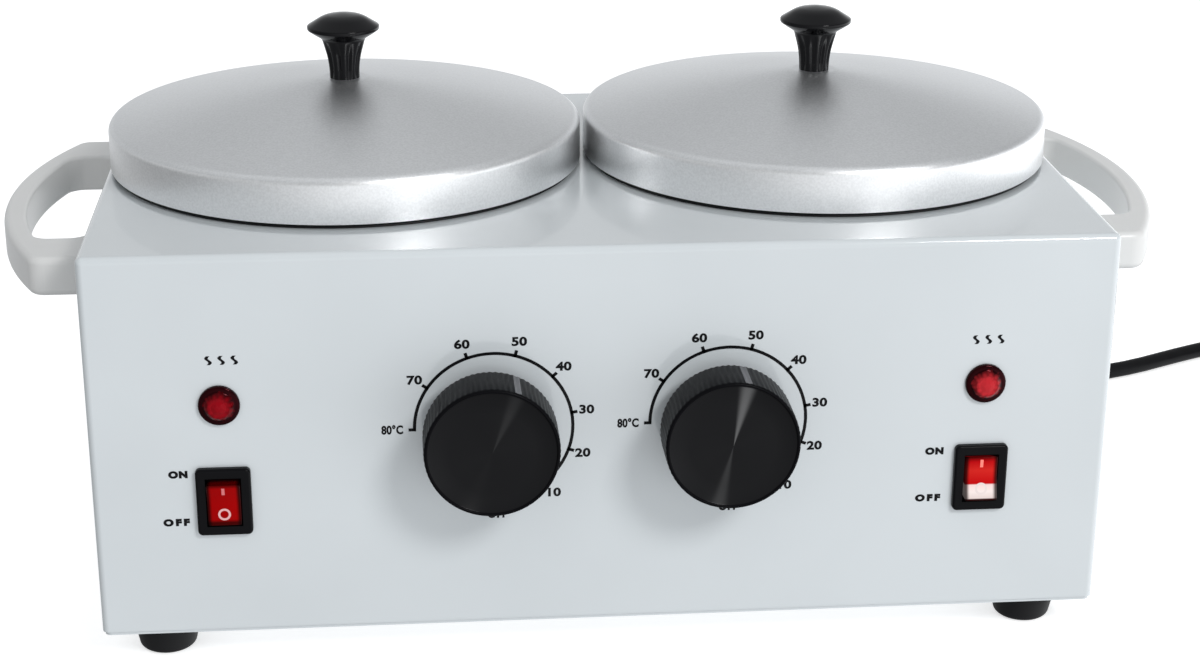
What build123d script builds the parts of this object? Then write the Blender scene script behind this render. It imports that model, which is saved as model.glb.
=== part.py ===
from build123d import *
import os
from math import atan2, cos, pi, radians, sin, sqrt, tan

# Double wax warmer, in millimetres. X runs along the front, the front faces -Y and Z is up.
# The origin is on the surface that the feet stand on, under the middle of the warmer.

# Casing: folded sheet steel, open below, closed by a flat base plate
case_width = 300.0
case_depth = 175.0
case_height = 118.0
sheet = 1.0
bend_radius = 2.0
lip_width = 10.0
lip_screw_pitch = 55.0
base_sheet = 1.2
base_edge_gap = 0.6
vent_rows = 6
vent_pitch = 10.0
vent_length = 50.0
vent_width = 3.0
running_gap = 0.3
hole_clearance = 0.2
thread_clearance = 0.05

# Feet
foot_height = 11.0
foot_top_radius = 9.7
foot_tip_radius = 8.3
foot_seat = 3.5
foot_inset_x = 17.5
foot_inset_y = 16.0

# Wells, pots and lids, one set on each side of the middle
lid_gap = 1.4
lid_sheet = 1.0
lid_lift = 2.0
lid_overhang = 6.6
lid_skirt = 12.0
lid_edge_radius = 3.0
lid_crown = 13.0
lid_crown_bulge = 1.2
lid_crown_radius = 500.0
lid_pad_radius = 7.0
well_setback = 8.0
well_side_room = 1.3
well_rear_room = 5.8
well_sheet = 1.2
well_depth = 80.0
well_corner = 6.0
well_flange = 4.0
bracket_sheet = 1.0
bracket_width = 10.0
bracket_reach = 9.0
bracket_drop = 11.0
pot_clearance = 1.0
pot_sheet = 1.5
pot_corner = 5.0
pot_rim_play = 1.8
pot_rim_lip = 5.0
pot_rim_round = 1.0

# Lid knobs
cap_radius = 11.3
cap_edge = 2.0
cap_dome = 3.6
cap_underside = 2.5
knob_height = 20.5
stem_foot_radius = 4.3
stem_waist_radius = 4.6
stem_head_radius = 6.2
stem_waist_height = 5.0
flute_count = 10
flute_radius = 0.9
knob_screw_depth = 10.0

# Heaters, insulation and sensing parts of each well
heater_sheet = 2.0
heater_height = 45.0
heater_rise = 10.0
heater_gap = 17.0
ear_sheet = 1.5
ear_reach = 11.0
clamp_pitch = 22.5
insulation_sheet = 3.0
insulation_gap = 44.0
insulation_margin = 3.0
bulb_radius = 2.5
bulb_length = 64.0
bulb_offset = 22.0
capillary_radius = 0.8
capillary_bend = 4.0
capillary_rise = 12.5
capillary_setback = 9.0
strap_sheet = 0.8
strap_width = 10.0
strap_foot = 6.0
strap_pitch = 40.0
cutout_radius = 8.0
cutout_height = 7.0
cutout_offset = 20.0
cutout_plate = 1.0
cutout_plate_length = 28.0
cutout_plate_width = 11.0
cutout_tab_pitch = 8.0

# Handles
handle_drop = 10.0
handle_height = 12.0
handle_length = 128.0
handle_shoulder = 17.0
handle_reach = 32.5
handle_grip = 7.0
handle_arm = 20.0
handle_plate = 3.0
handle_round = 2.2
slot_round = 1.2
handle_corner = 5.5
handle_screw_depth = 10.0

# Controls on the front panel
dial_inset = 40.5
dial_height = 63.5
dial_radius = 19.6
dial_reach = 20.0
dial_back_gap = 5.5
dial_wall = 2.0
dial_face = 3.5
dial_lip = 1.1
dial_lip_height = 0.5
dial_round = 0.4
dial_hub_radius = 6.0
dial_hub_recess = 1.0
dial_grooves = 72
dial_groove_radius = 0.45
dial_mark_width = 1.4
dial_mark_depth = 0.6
dial_mark_angle = {"left": 67.0, "right": 78.0}
shaft_radius = 3.0
shaft_flat = 0.8
shaft_seat = 8.0
bush_radius = 4.7
bush_proud = 0.5
thermostat_width = 34.0
thermostat_height = 44.0
thermostat_depth = 20.0
thermostat_screw_pitch = 25.0
control_spacing = 224.0
switch_height = 43.0
switch_gap = 0.1
bezel_width = 16.0
bezel_height = 21.0
bezel_thickness = 2.0
bezel_corner = 1.5
bezel_round = 0.8
housing_width = 12.8
housing_height = 19.0
housing_depth = 14.0
rocker_width = 9.8
rocker_height = 13.8
rocker_tilt = 8.0
rocker_pivot_depth = 1.5
rocker_proud = 0.4
rocker_back = 3.0
rocker_side_gap = 0.3
rocker_end_gap = 0.7
switch_cavity = 6.2
trunnion_radius = 0.8
trunnion_length = 0.9
blade_width = 4.8
blade_sheet = 0.8
blade_length = 8.0
blade_pitch = 6.0
lamp_height = 73.0
lens_radius = 6.0
lens_rim = 1.3
lens_dome_radius = 4.4
lens_dome = 2.2
lamp_radius = 4.8
lamp_depth = 16.0
lamp_ring_radius = 8.0

# Mains connection
cord_diameter = 6.0
cord_floor_gap = 0.1
gland_x = 30.0
gland_height = 19.0
gland_length = 26.0
gland_flange_radius = 8.0
gland_flange = 2.0
gland_neck_radius = 5.3
gland_root_radius = 6.2
gland_tip_radius = 4.2
gland_snap_radius = 6.3
gland_snap = 2.5
gland_grooves = 5
gland_groove_width = 1.8
gland_groove_depth = 1.1
block_length = 32.0
block_width = 18.0
block_height = 14.0
block_pitch = 10.0
block_bore = 2.2
block_inset = 32.0
plug_width = 21.0
plug_length = 26.0
plug_round = 5.0
plug_boot = 14.0
plug_boot_start = 4.0
plug_boot_end = 6.5
pin_length = 17.0
pin_width = 6.3
pin_sheet = 1.5
pin_pitch = 12.7

# Screws, nuts and washers
screw_radius = 2.0
screw_head_radius = 3.6
screw_head = 2.4
nut_radius = 3.9
nut_height = 3.0
washer_radius = 4.3
washer_sheet = 0.8

# Places that follow from the sizes above
case_y = dial_reach / 2
case_front = case_y - case_depth / 2
case_rear = case_y + case_depth / 2
case_side = case_width / 2
panel_back = case_front + sheet
shell_bottom = foot_height + base_sheet
case_top = foot_height + case_height
well_jacket = heater_sheet + insulation_sheet
room_across = (case_side - sheet - well_side_room - well_jacket + lid_overhang - lid_gap / 2) / 2
room_along = case_depth / 2 - sheet - well_rear_room - well_jacket + lid_overhang - well_setback
lid_radius = min(room_across, room_along)
well_spacing = 2 * lid_radius + lid_gap
well_y = case_y + well_setback
well_outer = lid_radius - lid_overhang
well_radius = well_outer - well_sheet
dial_spacing = well_spacing - 2 * dial_inset
well_bottom = case_top - well_depth
heater_radius = well_outer + heater_sheet
pot_bottom = well_bottom + well_sheet + running_gap
pot_outer = well_radius - pot_clearance
lid_bottom = case_top + lid_lift
lid_ring = lid_bottom + lid_skirt
lid_top = lid_ring + lid_crown
pot_top = lid_ring - running_gap
pot_rim_radius = lid_radius - lid_sheet - pot_rim_play
dial_z = foot_height + dial_height
switch_z = foot_height + switch_height
lamp_z = foot_height + lamp_height
gland_z = foot_height + gland_height
handle_top = case_top - handle_drop
handle_z = handle_top - handle_height / 2
slot_length = handle_length - 2 * handle_arm
handle_rise = handle_reach - handle_shoulder
handle_arc = (handle_length**2 / 4 + handle_rise**2) / (2 * handle_rise)
slot_reach = handle_reach - handle_grip
slot_end_reach = handle_reach - handle_arc + sqrt((handle_arc - handle_grip) ** 2 - slot_length**2 / 4)
bulb_y = well_y - bulb_offset
bulb_z = well_bottom - bulb_radius
pivot_y = case_front - bezel_thickness + rocker_pivot_depth
cord_radius = cord_diameter / 2
cord_z = cord_radius + cord_floor_gap
sides = {"left": -1, "right": 1}

os.makedirs("parts", exist_ok=True)


def keep(piece, label):
    """Names a finished piece and writes it."""
    piece.part.label = label
    export_step(piece.part, f"parts/{label}.step")


def facing_front(y):
    """A plane across the warmer whose normal points out of the front panel."""
    return Plane(origin=(0, y, 0), x_dir=(1, 0, 0), z_dir=(0, -1, 0))


def facing_down(z):
    """A level plane seen from below, on which y is counted towards the front."""
    return Plane(origin=(0, 0, z), x_dir=(1, 0, 0), z_dir=(0, 0, -1))


def facing_side(side, x):
    """A plane on one side of the warmer whose normal points outwards along X."""
    return Plane(origin=(x, 0, 0), x_dir=(0, side, 0), z_dir=(side, 0, 0))


def turned(x, y, corners):
    """A piece turned about a vertical axis from corners of radius, height and rounding."""
    with BuildPart() as piece:
        with BuildSketch(Plane(origin=(x, y, 0), x_dir=(1, 0, 0), z_dir=(0, -1, 0))):
            with BuildLine():
                points = [(radius, height) for radius, height, rounding in corners]
                FilletPolyline(*points, radius=[corner[2] for corner in corners], close=True)
            make_face()
        revolve(axis=Axis((x, y, 0), (0, 0, 1)))
    return piece


def screws(plane, points, length):
    """Pan-head screws with their heads on the plane and cross recesses in the heads."""
    with BuildPart() as piece:
        with BuildSketch(plane):
            with Locations(*points):
                Circle(screw_head_radius)
        extrude(amount=screw_head)
        fillet(
            piece.edges().group_by(Axis(plane.origin, plane.z_dir))[-1],
            radius=screw_head / 3,
        )
        with BuildSketch(plane.offset(screw_head)):
            with Locations(*points):
                Rectangle(screw_head_radius, screw_radius / 3)
                Rectangle(screw_radius / 3, screw_head_radius)
        extrude(amount=-screw_head / 2, mode=Mode.SUBTRACT)
        with BuildSketch(plane):
            with Locations(*points):
                Circle(screw_radius)
        extrude(amount=-length)
    return piece


def nuts(plane, points):
    """Hexagon nuts lying on the plane."""
    with BuildPart() as piece:
        with BuildSketch(plane):
            with Locations(*points):
                RegularPolygon(nut_radius, 6)
                Circle(screw_radius + thread_clearance, mode=Mode.SUBTRACT)
        extrude(amount=nut_height)
    return piece


# Places that several pieces share
foot_points = [
    (x * (case_side - foot_inset_x), case_y + y * (case_depth / 2 - foot_inset_y))
    for x in (-1, 1)
    for y in (-1, 1)
]
lip_screw_points = [
    (x * (case_width - lip_width - sheet) / 2, case_y + y * lip_screw_pitch)
    for x in (-1, 1)
    for y in (-1, 0, 1)
]
well_points = [(side * well_spacing / 2, well_y) for side in sides.values()]
dial_points = [(side * dial_spacing / 2, dial_z) for side in sides.values()]
switch_points = [(side * control_spacing / 2, switch_z) for side in sides.values()]
lamp_points = [(side * control_spacing / 2, lamp_z) for side in sides.values()]
thermostat_screw_points = [
    (x + end * thermostat_screw_pitch / 2, z) for x, z in dial_points for end in (-1, 1)
]
handle_screw_y = [well_y + end * (handle_length - handle_arm) / 2 for end in (-1, 1)]
clamp_y = well_y - well_outer - (ear_reach + heater_sheet) / 2
clamp_z = well_bottom + heater_rise + heater_height / 2
clamp_points = [(clamp_y, clamp_z + end * clamp_pitch / 2) for end in (-1, 1)]

# Outer case: a five-sided sheet box with a lip folded in round the bottom
with BuildPart() as outer_case:
    with BuildSketch(Plane.XY.offset(shell_bottom)):
        with Locations((0, case_y)):
            RectangleRounded(case_width, case_depth, bend_radius)
    extrude(amount=case_top - shell_bottom)
    fillet(outer_case.faces().sort_by(Axis.Z)[-1].edges(), radius=bend_radius)
    offset(amount=-sheet, openings=outer_case.faces().sort_by(Axis.Z)[0])
    with BuildSketch(Plane.XY.offset(shell_bottom)):
        with Locations((0, case_y)):
            RectangleRounded(case_width - sheet, case_depth - sheet, bend_radius - sheet / 2)
            RectangleRounded(
                case_width - 2 * (sheet + lip_width),
                case_depth - 2 * (sheet + lip_width),
                lip_width / 2,
                mode=Mode.SUBTRACT,
            )
        with Locations(*lip_screw_points):
            Circle(screw_radius + thread_clearance, mode=Mode.SUBTRACT)
    extrude(amount=sheet)
    with BuildSketch(Plane.XY.offset(case_top)):
        with Locations(*well_points):
            Circle(well_outer + hole_clearance)
    extrude(amount=-2 * sheet, mode=Mode.SUBTRACT)
    with BuildSketch(facing_front(case_front)):
        with Locations(*dial_points):
            Circle(bush_radius + hole_clearance)
        with Locations(*thermostat_screw_points):
            Circle(screw_radius + hole_clearance)
        with Locations(*switch_points):
            Rectangle(housing_width + 2 * switch_gap, housing_height + 2 * switch_gap)
        with Locations(*lamp_points):
            Circle(lamp_radius + hole_clearance)
    extrude(amount=-2 * sheet, mode=Mode.SUBTRACT)
    with BuildSketch(facing_front(case_rear)):
        with Locations((gland_x, gland_z)):
            Circle(gland_neck_radius + hole_clearance)
    extrude(amount=2 * sheet, mode=Mode.SUBTRACT)
    for side in sides.values():
        with BuildSketch(facing_side(side, side * case_side)):
            with Locations(*[(side * y, handle_z) for y in handle_screw_y]):
                Circle(screw_radius + hole_clearance)
        extrude(amount=-2 * sheet, mode=Mode.SUBTRACT)
keep(outer_case, "outer_case")

# Base plate: flat sheet with rows of air slots under the wells
with BuildPart() as base_plate:
    with BuildSketch(Plane.XY.offset(foot_height)):
        with Locations((0, case_y)):
            RectangleRounded(
                case_width - 2 * base_edge_gap, case_depth - 2 * base_edge_gap, bend_radius
            )
        with Locations(*foot_points, *lip_screw_points):
            Circle(screw_radius + hole_clearance, mode=Mode.SUBTRACT)
        with Locations(*well_points):
            with GridLocations(0, vent_pitch, 1, vent_rows):
                SlotOverall(vent_length, vent_width, mode=Mode.SUBTRACT)
    extrude(amount=base_sheet)
keep(base_plate, "base_plate")

base_screws = screws(
    facing_down(foot_height), [(x, -y) for x, y in lip_screw_points], base_sheet + 3 * sheet
)
keep(base_screws, "base_screws")

# Feet: moulded rubber with a well for the screw head
with BuildPart() as rubber_feet:
    for foot_x, foot_y in foot_points:
        foot = turned(
            foot_x,
            foot_y,
            [
                (screw_radius + hole_clearance, foot_height, 0),
                (foot_top_radius, foot_height, 0),
                (foot_top_radius, foot_height * 0.6, foot_height * 0.2),
                (foot_tip_radius, 0, foot_height * 0.2),
                (screw_head_radius + 2 * hole_clearance, 0, 0),
                (screw_head_radius + 2 * hole_clearance, foot_seat, 0),
                (screw_radius + hole_clearance, foot_seat, 0),
            ],
        )
        add(foot.part)
keep(rubber_feet, "rubber_feet")

foot_screws = screws(
    facing_down(foot_seat),
    [(x, -y) for x, y in foot_points],
    shell_bottom + nut_height + 1 - foot_seat,
)
keep(foot_screws, "foot_screws")

foot_nuts = nuts(Plane.XY.offset(shell_bottom), foot_points)
keep(foot_nuts, "foot_nuts")

# Handles: moulded plastic loops on the side walls
for name, side in sides.items():
    with BuildPart() as handle:
        with BuildSketch(Plane.XY.offset(handle_top - handle_height)) as outline:
            with Locations((side * case_side, well_y)):
                with BuildLine(mode=Mode.PRIVATE) as edge:
                    Polyline(
                        (side * handle_shoulder, -handle_length / 2),
                        (0, -handle_length / 2),
                        (0, handle_length / 2),
                        (side * handle_shoulder, handle_length / 2),
                    )
                    ThreePointArc(
                        (side * handle_shoulder, handle_length / 2),
                        (side * handle_reach, 0),
                        (side * handle_shoulder, -handle_length / 2),
                    )
                add(make_face(edge.edges(), mode=Mode.PRIVATE))
            shoulders = outline.vertices().group_by(Axis.X)[-1 if side > 0 else 0]
            fillet(shoulders, radius=handle_corner)
        extrude(amount=handle_height)
        fillet(
            handle.edges()
            .filter_by(Plane.XY)
            .filter_by(lambda edge: abs(edge.center().X) > case_side + handle_plate),
            radius=handle_round,
        )
        with BuildSketch(Plane.XY.offset(handle_top - handle_height)) as slot:
            with Locations((side * case_side, well_y)):
                with BuildLine(mode=Mode.PRIVATE) as edge:
                    Polyline(
                        (side * slot_end_reach, -slot_length / 2),
                        (side * handle_plate, -slot_length / 2),
                        (side * handle_plate, slot_length / 2),
                        (side * slot_end_reach, slot_length / 2),
                    )
                    ThreePointArc(
                        (side * slot_end_reach, slot_length / 2),
                        (side * slot_reach, 0),
                        (side * slot_end_reach, -slot_length / 2),
                    )
                add(make_face(edge.edges(), mode=Mode.PRIVATE))
            fillet(slot.vertices(), radius=handle_corner)
        extrude(amount=handle_height, mode=Mode.SUBTRACT)
        rims = [
            edge
            for face in handle.faces().filter_by(Plane.XY)
            for wire in face.inner_wires()
            for edge in wire.edges()
        ]
        fillet(rims, radius=slot_round)
        with BuildSketch(facing_side(side, side * case_side)):
            with Locations(*[(side * y, handle_z) for y in handle_screw_y]):
                Circle(screw_radius + thread_clearance)
        extrude(amount=handle_screw_depth + 1, mode=Mode.SUBTRACT)
    keep(handle, f"{name}_handle")

with BuildPart() as handle_screws:
    for side in sides.values():
        seat = facing_side(-side, side * (case_side - sheet - washer_sheet))
        points = [(-side * y, handle_z) for y in handle_screw_y]
        add(screws(seat, points, washer_sheet + sheet + handle_screw_depth).part)
keep(handle_screws, "handle_screws")

with BuildPart() as handle_washers:
    for side in sides.values():
        with BuildSketch(facing_side(-side, side * (case_side - sheet))):
            with Locations(*[(-side * y, handle_z) for y in handle_screw_y]):
                Circle(washer_radius)
                Circle(screw_radius + hole_clearance, mode=Mode.SUBTRACT)
        extrude(amount=washer_sheet)
keep(handle_washers, "handle_washers")

# Heating wells: drawn aluminium cups hanging by their flanges in the top of the case
for name, side in sides.items():
    heating_well = turned(
        side * well_spacing / 2,
        well_y,
        [
            (0, well_bottom, 0),
            (well_outer, well_bottom, well_corner + well_sheet),
            (well_outer, case_top, 0),
            (well_outer + well_flange, case_top, 0),
            (well_outer + well_flange, case_top + well_sheet, well_sheet / 3),
            (well_radius, case_top + well_sheet, 2 * well_sheet / 3),
            (well_radius, well_bottom + well_sheet, well_corner),
            (0, well_bottom + well_sheet, 0),
        ],
    )
    keep(heating_well, f"{name}_heating_well")

# Angle brackets welded to the wells that hold them up against the sheet
with BuildPart() as well_brackets:
    for x, y in well_points:
        for turn in (45, 135, 225, 315):
            out = (cos(radians(turn)), sin(radians(turn)), 0)
            with BuildSketch(Plane(origin=(x, y, 0), x_dir=out, z_dir=(out[1], -out[0], 0))):
                with BuildLine():
                    FilletPolyline(
                        (well_outer, case_top - sheet - bracket_drop),
                        (well_outer + bracket_sheet, case_top - sheet - bracket_drop),
                        (well_outer + bracket_sheet, case_top - sheet - bracket_sheet),
                        (well_outer + bracket_reach, case_top - sheet - bracket_sheet),
                        (well_outer + bracket_reach, case_top - sheet),
                        (well_outer, case_top - sheet),
                        radius=[0, 0, bracket_sheet / 2, 0, 0, 0],
                        close=True,
                    )
                make_face()
            extrude(amount=bracket_width / 2, both=True)
keep(well_brackets, "well_brackets")

# Band heaters: mica bands clamped round the wells by bolts through their ears
for name, side in sides.items():
    x = side * well_spacing / 2
    with BuildPart() as band_heater:
        with BuildSketch(Plane.XY.offset(well_bottom + heater_rise)):
            with Locations((x, well_y)):
                Circle(heater_radius)
                Circle(well_outer, mode=Mode.SUBTRACT)
            with Locations((x, well_y - well_outer)):
                Rectangle(heater_gap, 4 * heater_sheet, mode=Mode.SUBTRACT)
                with Locations((0, -ear_reach / 2)):
                    with GridLocations(heater_gap + ear_sheet, 0, 2, 1):
                        Rectangle(ear_sheet, ear_reach)
        extrude(amount=heater_height)
        with BuildSketch(facing_side(1, x - heater_gap)):
            with Locations(*clamp_points):
                Circle(screw_radius + hole_clearance)
        extrude(amount=2 * heater_gap, mode=Mode.SUBTRACT)
    keep(band_heater, f"{name}_band_heater")

with BuildPart() as clamp_bolts:
    for x, y in well_points:
        seat = facing_side(1, x + heater_gap / 2 + ear_sheet)
        add(screws(seat, clamp_points, heater_gap + 2 * ear_sheet + nut_height + 1).part)
keep(clamp_bolts, "clamp_bolts")

with BuildPart() as clamp_nuts:
    for x, y in well_points:
        seat = facing_side(-1, x - heater_gap / 2 - ear_sheet)
        add(nuts(seat, [(-y, z) for y, z in clamp_points]).part)
keep(clamp_nuts, "clamp_nuts")

# Insulation: fibre blankets round the heaters, open where the ears stand out
for name, side in sides.items():
    with BuildPart() as insulation:
        with BuildSketch(Plane.XY.offset(well_bottom + heater_rise - insulation_margin)):
            with Locations((side * well_spacing / 2, well_y)):
                Circle(heater_radius + insulation_sheet)
                Circle(heater_radius, mode=Mode.SUBTRACT)
            with Locations((side * well_spacing / 2, well_y - well_outer)):
                Rectangle(insulation_gap, insulation_gap, mode=Mode.SUBTRACT)
        extrude(amount=heater_height + 2 * insulation_margin)
    keep(insulation, f"{name}_insulation")

# Thermostat bulbs: copper bulbs under the wells with a capillary to each thermostat
for name, side in sides.items():
    bulb_x = side * (well_spacing - bulb_length) / 2
    rise_x = side * dial_spacing / 2
    rise_y = panel_back + thermostat_depth + capillary_setback
    with BuildPart() as bulb:
        with BuildSketch(facing_side(side, bulb_x)):
            with Locations((side * bulb_y, bulb_z)):
                Circle(bulb_radius)
        extrude(amount=bulb_length)
        fillet(bulb.edges(), radius=bulb_radius / 3)
        with BuildLine() as capillary:
            FilletPolyline(
                (bulb_x, bulb_y, bulb_z),
                (rise_x, bulb_y, bulb_z),
                (rise_x, rise_y, bulb_z),
                (rise_x, rise_y, bulb_z + capillary_rise),
                (rise_x, panel_back + thermostat_depth, bulb_z + capillary_rise),
                radius=capillary_bend,
            )
        with BuildSketch(Plane(origin=(bulb_x, bulb_y, bulb_z), z_dir=(-side, 0, 0))):
            Circle(capillary_radius)
        sweep(path=capillary.wire())
    keep(bulb, f"{name}_thermostat_bulb")

with BuildPart() as bulb_straps:
    for x, y in well_points:
        for end in (-1, 1):
            with BuildSketch(facing_side(1, x + (end * strap_pitch - strap_width) / 2)):
                with Locations((bulb_y, bulb_z)):
                    Circle(bulb_radius + strap_sheet)
                with Locations((bulb_y, bulb_z + bulb_radius / 2)):
                    Rectangle(2 * (bulb_radius + strap_sheet), bulb_radius)
                with Locations((bulb_y, well_bottom - strap_sheet / 2)):
                    Rectangle(2 * (bulb_radius + strap_sheet + strap_foot), strap_sheet)
                with Locations((bulb_y, bulb_z)):
                    Circle(bulb_radius, mode=Mode.SUBTRACT)
                with Locations((bulb_y, bulb_z + bulb_radius)):
                    Rectangle(2 * bulb_radius, 2 * bulb_radius, mode=Mode.SUBTRACT)
                with Locations((bulb_y, well_bottom + bulb_radius)):
                    Rectangle(4 * bulb_radius, 2 * bulb_radius, mode=Mode.SUBTRACT)
            extrude(amount=strap_width)
keep(bulb_straps, "bulb_straps")

# Thermal cutouts: round cans on a plate under the wells, with two blade terminals
for name, side in sides.items():
    spot = (side * well_spacing / 2, -(well_y + cutout_offset))
    with BuildPart() as cutout:
        with BuildSketch(facing_down(well_bottom)):
            with Locations(spot):
                SlotOverall(cutout_plate_length, cutout_plate_width)
        extrude(amount=cutout_plate)
        with BuildSketch(facing_down(well_bottom)):
            with Locations(spot):
                Circle(cutout_radius)
        extrude(amount=cutout_height)
        fillet(cutout.edges().sort_by(Axis.Z)[0], radius=cutout_plate)
        with BuildSketch(facing_down(well_bottom - cutout_height)):
            with Locations(spot):
                with GridLocations(cutout_tab_pitch, 0, 2, 1):
                    Rectangle(blade_sheet, blade_width)
        extrude(amount=blade_length)
    keep(cutout, f"{name}_thermal_cutout")

# Thermostats: moulded bodies behind the panel with a threaded bush through it
for name, side in sides.items():
    spot = (side * dial_spacing / 2, dial_z)
    with BuildPart() as thermostat:
        with BuildSketch(facing_front(panel_back)):
            with Locations(spot):
                RectangleRounded(thermostat_width, thermostat_height, bend_radius)
        extrude(amount=-thermostat_depth)
        with BuildSketch(facing_front(panel_back)):
            with Locations(spot):
                Circle(bush_radius)
        extrude(amount=sheet + bush_proud)
        with BuildSketch(facing_front(panel_back + thermostat_depth)):
            with Locations(spot):
                with GridLocations(thermostat_width / 2, 0, 2, 1):
                    Rectangle(blade_sheet, blade_width)
        extrude(amount=-blade_length)
        with BuildSketch(facing_front(case_front - bush_proud)):
            with Locations(spot):
                Circle(shaft_radius + running_gap)
        extrude(amount=-(bush_proud + sheet + shaft_seat), mode=Mode.SUBTRACT)
        with BuildSketch(facing_front(panel_back)):
            with Locations(spot):
                with GridLocations(thermostat_screw_pitch, 0, 2, 1):
                    Circle(screw_radius + thread_clearance)
        extrude(amount=-shaft_seat, mode=Mode.SUBTRACT)
    keep(thermostat, f"{name}_thermostat")

thermostat_screws = screws(facing_front(case_front), thermostat_screw_points, sheet + shaft_seat - 1)
keep(thermostat_screws, "thermostat_screws")

# Thermostat shafts: steel, with a flat that drives the knob
for name, side in sides.items():
    spot = (side * dial_spacing / 2, dial_z)
    with BuildPart() as shaft:
        with BuildSketch(facing_front(panel_back + shaft_seat - running_gap)):
            with Locations(spot):
                Circle(shaft_radius)
                with Locations((0, shaft_radius)):
                    Rectangle(2 * shaft_radius, 2 * shaft_flat, mode=Mode.SUBTRACT)
        extrude(amount=shaft_seat + sheet + dial_reach - dial_face - 2 * running_gap)
    keep(shaft, f"{name}_thermostat_shaft")

# Dial knobs: hollow moulded skirts with a fluted side and a hub on the shaft
for name, side in sides.items():
    spot = (side * dial_spacing / 2, dial_z)
    dial_front = case_front - dial_reach
    dial_back = case_front - dial_back_gap
    with BuildPart() as dial_knob:
        with BuildSketch(facing_front(dial_back)):
            with Locations(spot):
                Circle(dial_radius)
        extrude(amount=dial_reach - dial_back_gap)
        with BuildSketch(facing_front(dial_front)):
            with Locations(spot):
                Circle(dial_radius - dial_lip)
        extrude(amount=-dial_lip_height, mode=Mode.SUBTRACT)
        fillet(
            dial_knob.edges().group_by(Axis.Y)[0],
            radius=dial_round,
        )
        with BuildSketch(facing_front(dial_back)):
            with Locations(spot):
                Circle(dial_radius - dial_wall)
        extrude(amount=dial_hub_recess, mode=Mode.SUBTRACT)
        with BuildSketch(facing_front(dial_back)):
            with Locations(spot):
                Circle(dial_radius - dial_wall)
                Circle(dial_hub_radius, mode=Mode.SUBTRACT)
        extrude(amount=dial_reach - dial_back_gap - dial_face, mode=Mode.SUBTRACT)
        with BuildSketch(facing_front(dial_back)):
            with Locations(spot):
                Circle(shaft_radius + thread_clearance)
                with Locations((0, shaft_radius)):
                    Rectangle(2 * dial_hub_radius, 2 * (shaft_flat - thread_clearance), mode=Mode.SUBTRACT)
        extrude(amount=dial_reach - dial_back_gap - dial_face, mode=Mode.SUBTRACT)
        with BuildSketch(facing_front(dial_back)):
            with Locations(spot):
                with PolarLocations(dial_radius + dial_groove_radius / 4, dial_grooves):
                    Circle(dial_groove_radius)
        extrude(amount=dial_reach - dial_back_gap - dial_lip, mode=Mode.SUBTRACT)
        with BuildSketch(facing_front(dial_front)):
            with Locations(spot):
                with PolarLocations(3 * dial_radius / 4, 1, start_angle=dial_mark_angle[name]):
                    Rectangle(dial_radius, dial_mark_width)
        extrude(amount=-dial_lip_height - dial_mark_depth, mode=Mode.SUBTRACT)
    keep(dial_knob, f"{name}_dial_knob")

# Rocker switches: a bezel on the panel, a housing behind it and blade terminals
for name, side in sides.items():
    spot = (side * control_spacing / 2, switch_z)
    window = (rocker_width + 2 * rocker_side_gap, rocker_height + 2 * rocker_end_gap)
    with BuildPart() as switch_body:
        with BuildSketch(facing_front(case_front)):
            with Locations(spot):
                RectangleRounded(bezel_width, bezel_height, bezel_corner)
        extrude(amount=bezel_thickness)
        fillet(switch_body.edges().group_by(Axis.Y)[0], radius=bezel_round)
        with BuildSketch(facing_front(case_front)):
            with Locations(spot):
                Rectangle(housing_width, housing_height)
        extrude(amount=-housing_depth)
        with BuildSketch(facing_front(case_front - bezel_thickness)):
            with Locations(spot):
                Rectangle(*window)
        extrude(amount=-switch_cavity, mode=Mode.SUBTRACT)
        with BuildSketch(facing_side(1, spot[0])):
            with Locations((pivot_y, switch_z)):
                Circle(trunnion_radius + running_gap)
        extrude(amount=rocker_width / 2 + trunnion_length + running_gap, both=True, mode=Mode.SUBTRACT)
    keep(switch_body, f"{name}_switch_body")

with BuildPart() as switch_terminals:
    with BuildSketch(facing_front(case_front + housing_depth)):
        with Locations(*switch_points):
            with GridLocations(0, blade_pitch, 1, 3):
                Rectangle(blade_width, blade_sheet)
    extrude(amount=-blade_length)
keep(switch_terminals, "switch_terminals")

# Rockers: translucent keys that tip about a pin, the left one off and the right one on
for name, side in sides.items():
    tilt = radians(side * rocker_tilt)
    crest = rocker_pivot_depth + rocker_proud
    horn = crest + rocker_height / 2 * tan(radians(rocker_tilt))
    lean = (0, -cos(tilt), sin(tilt))
    end = side * control_spacing / 2 + rocker_width / 2
    with BuildPart() as rocker:
        with BuildSketch(Plane(origin=(end, pivot_y, switch_z), x_dir=lean, z_dir=(-1, 0, 0))):
            Polygon(
                (crest, 0),
                (horn, rocker_height / 2),
                (-rocker_back, 0.4 * rocker_height),
                (-rocker_back, -0.4 * rocker_height),
                (horn, -rocker_height / 2),
                align=None,
            )
        extrude(amount=rocker_width)
        with BuildSketch(facing_side(-1, end + trunnion_length)):
            with Locations((-pivot_y, switch_z)):
                Circle(trunnion_radius)
        extrude(amount=rocker_width + 2 * trunnion_length)
    keep(rocker, f"{name}_rocker")

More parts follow.
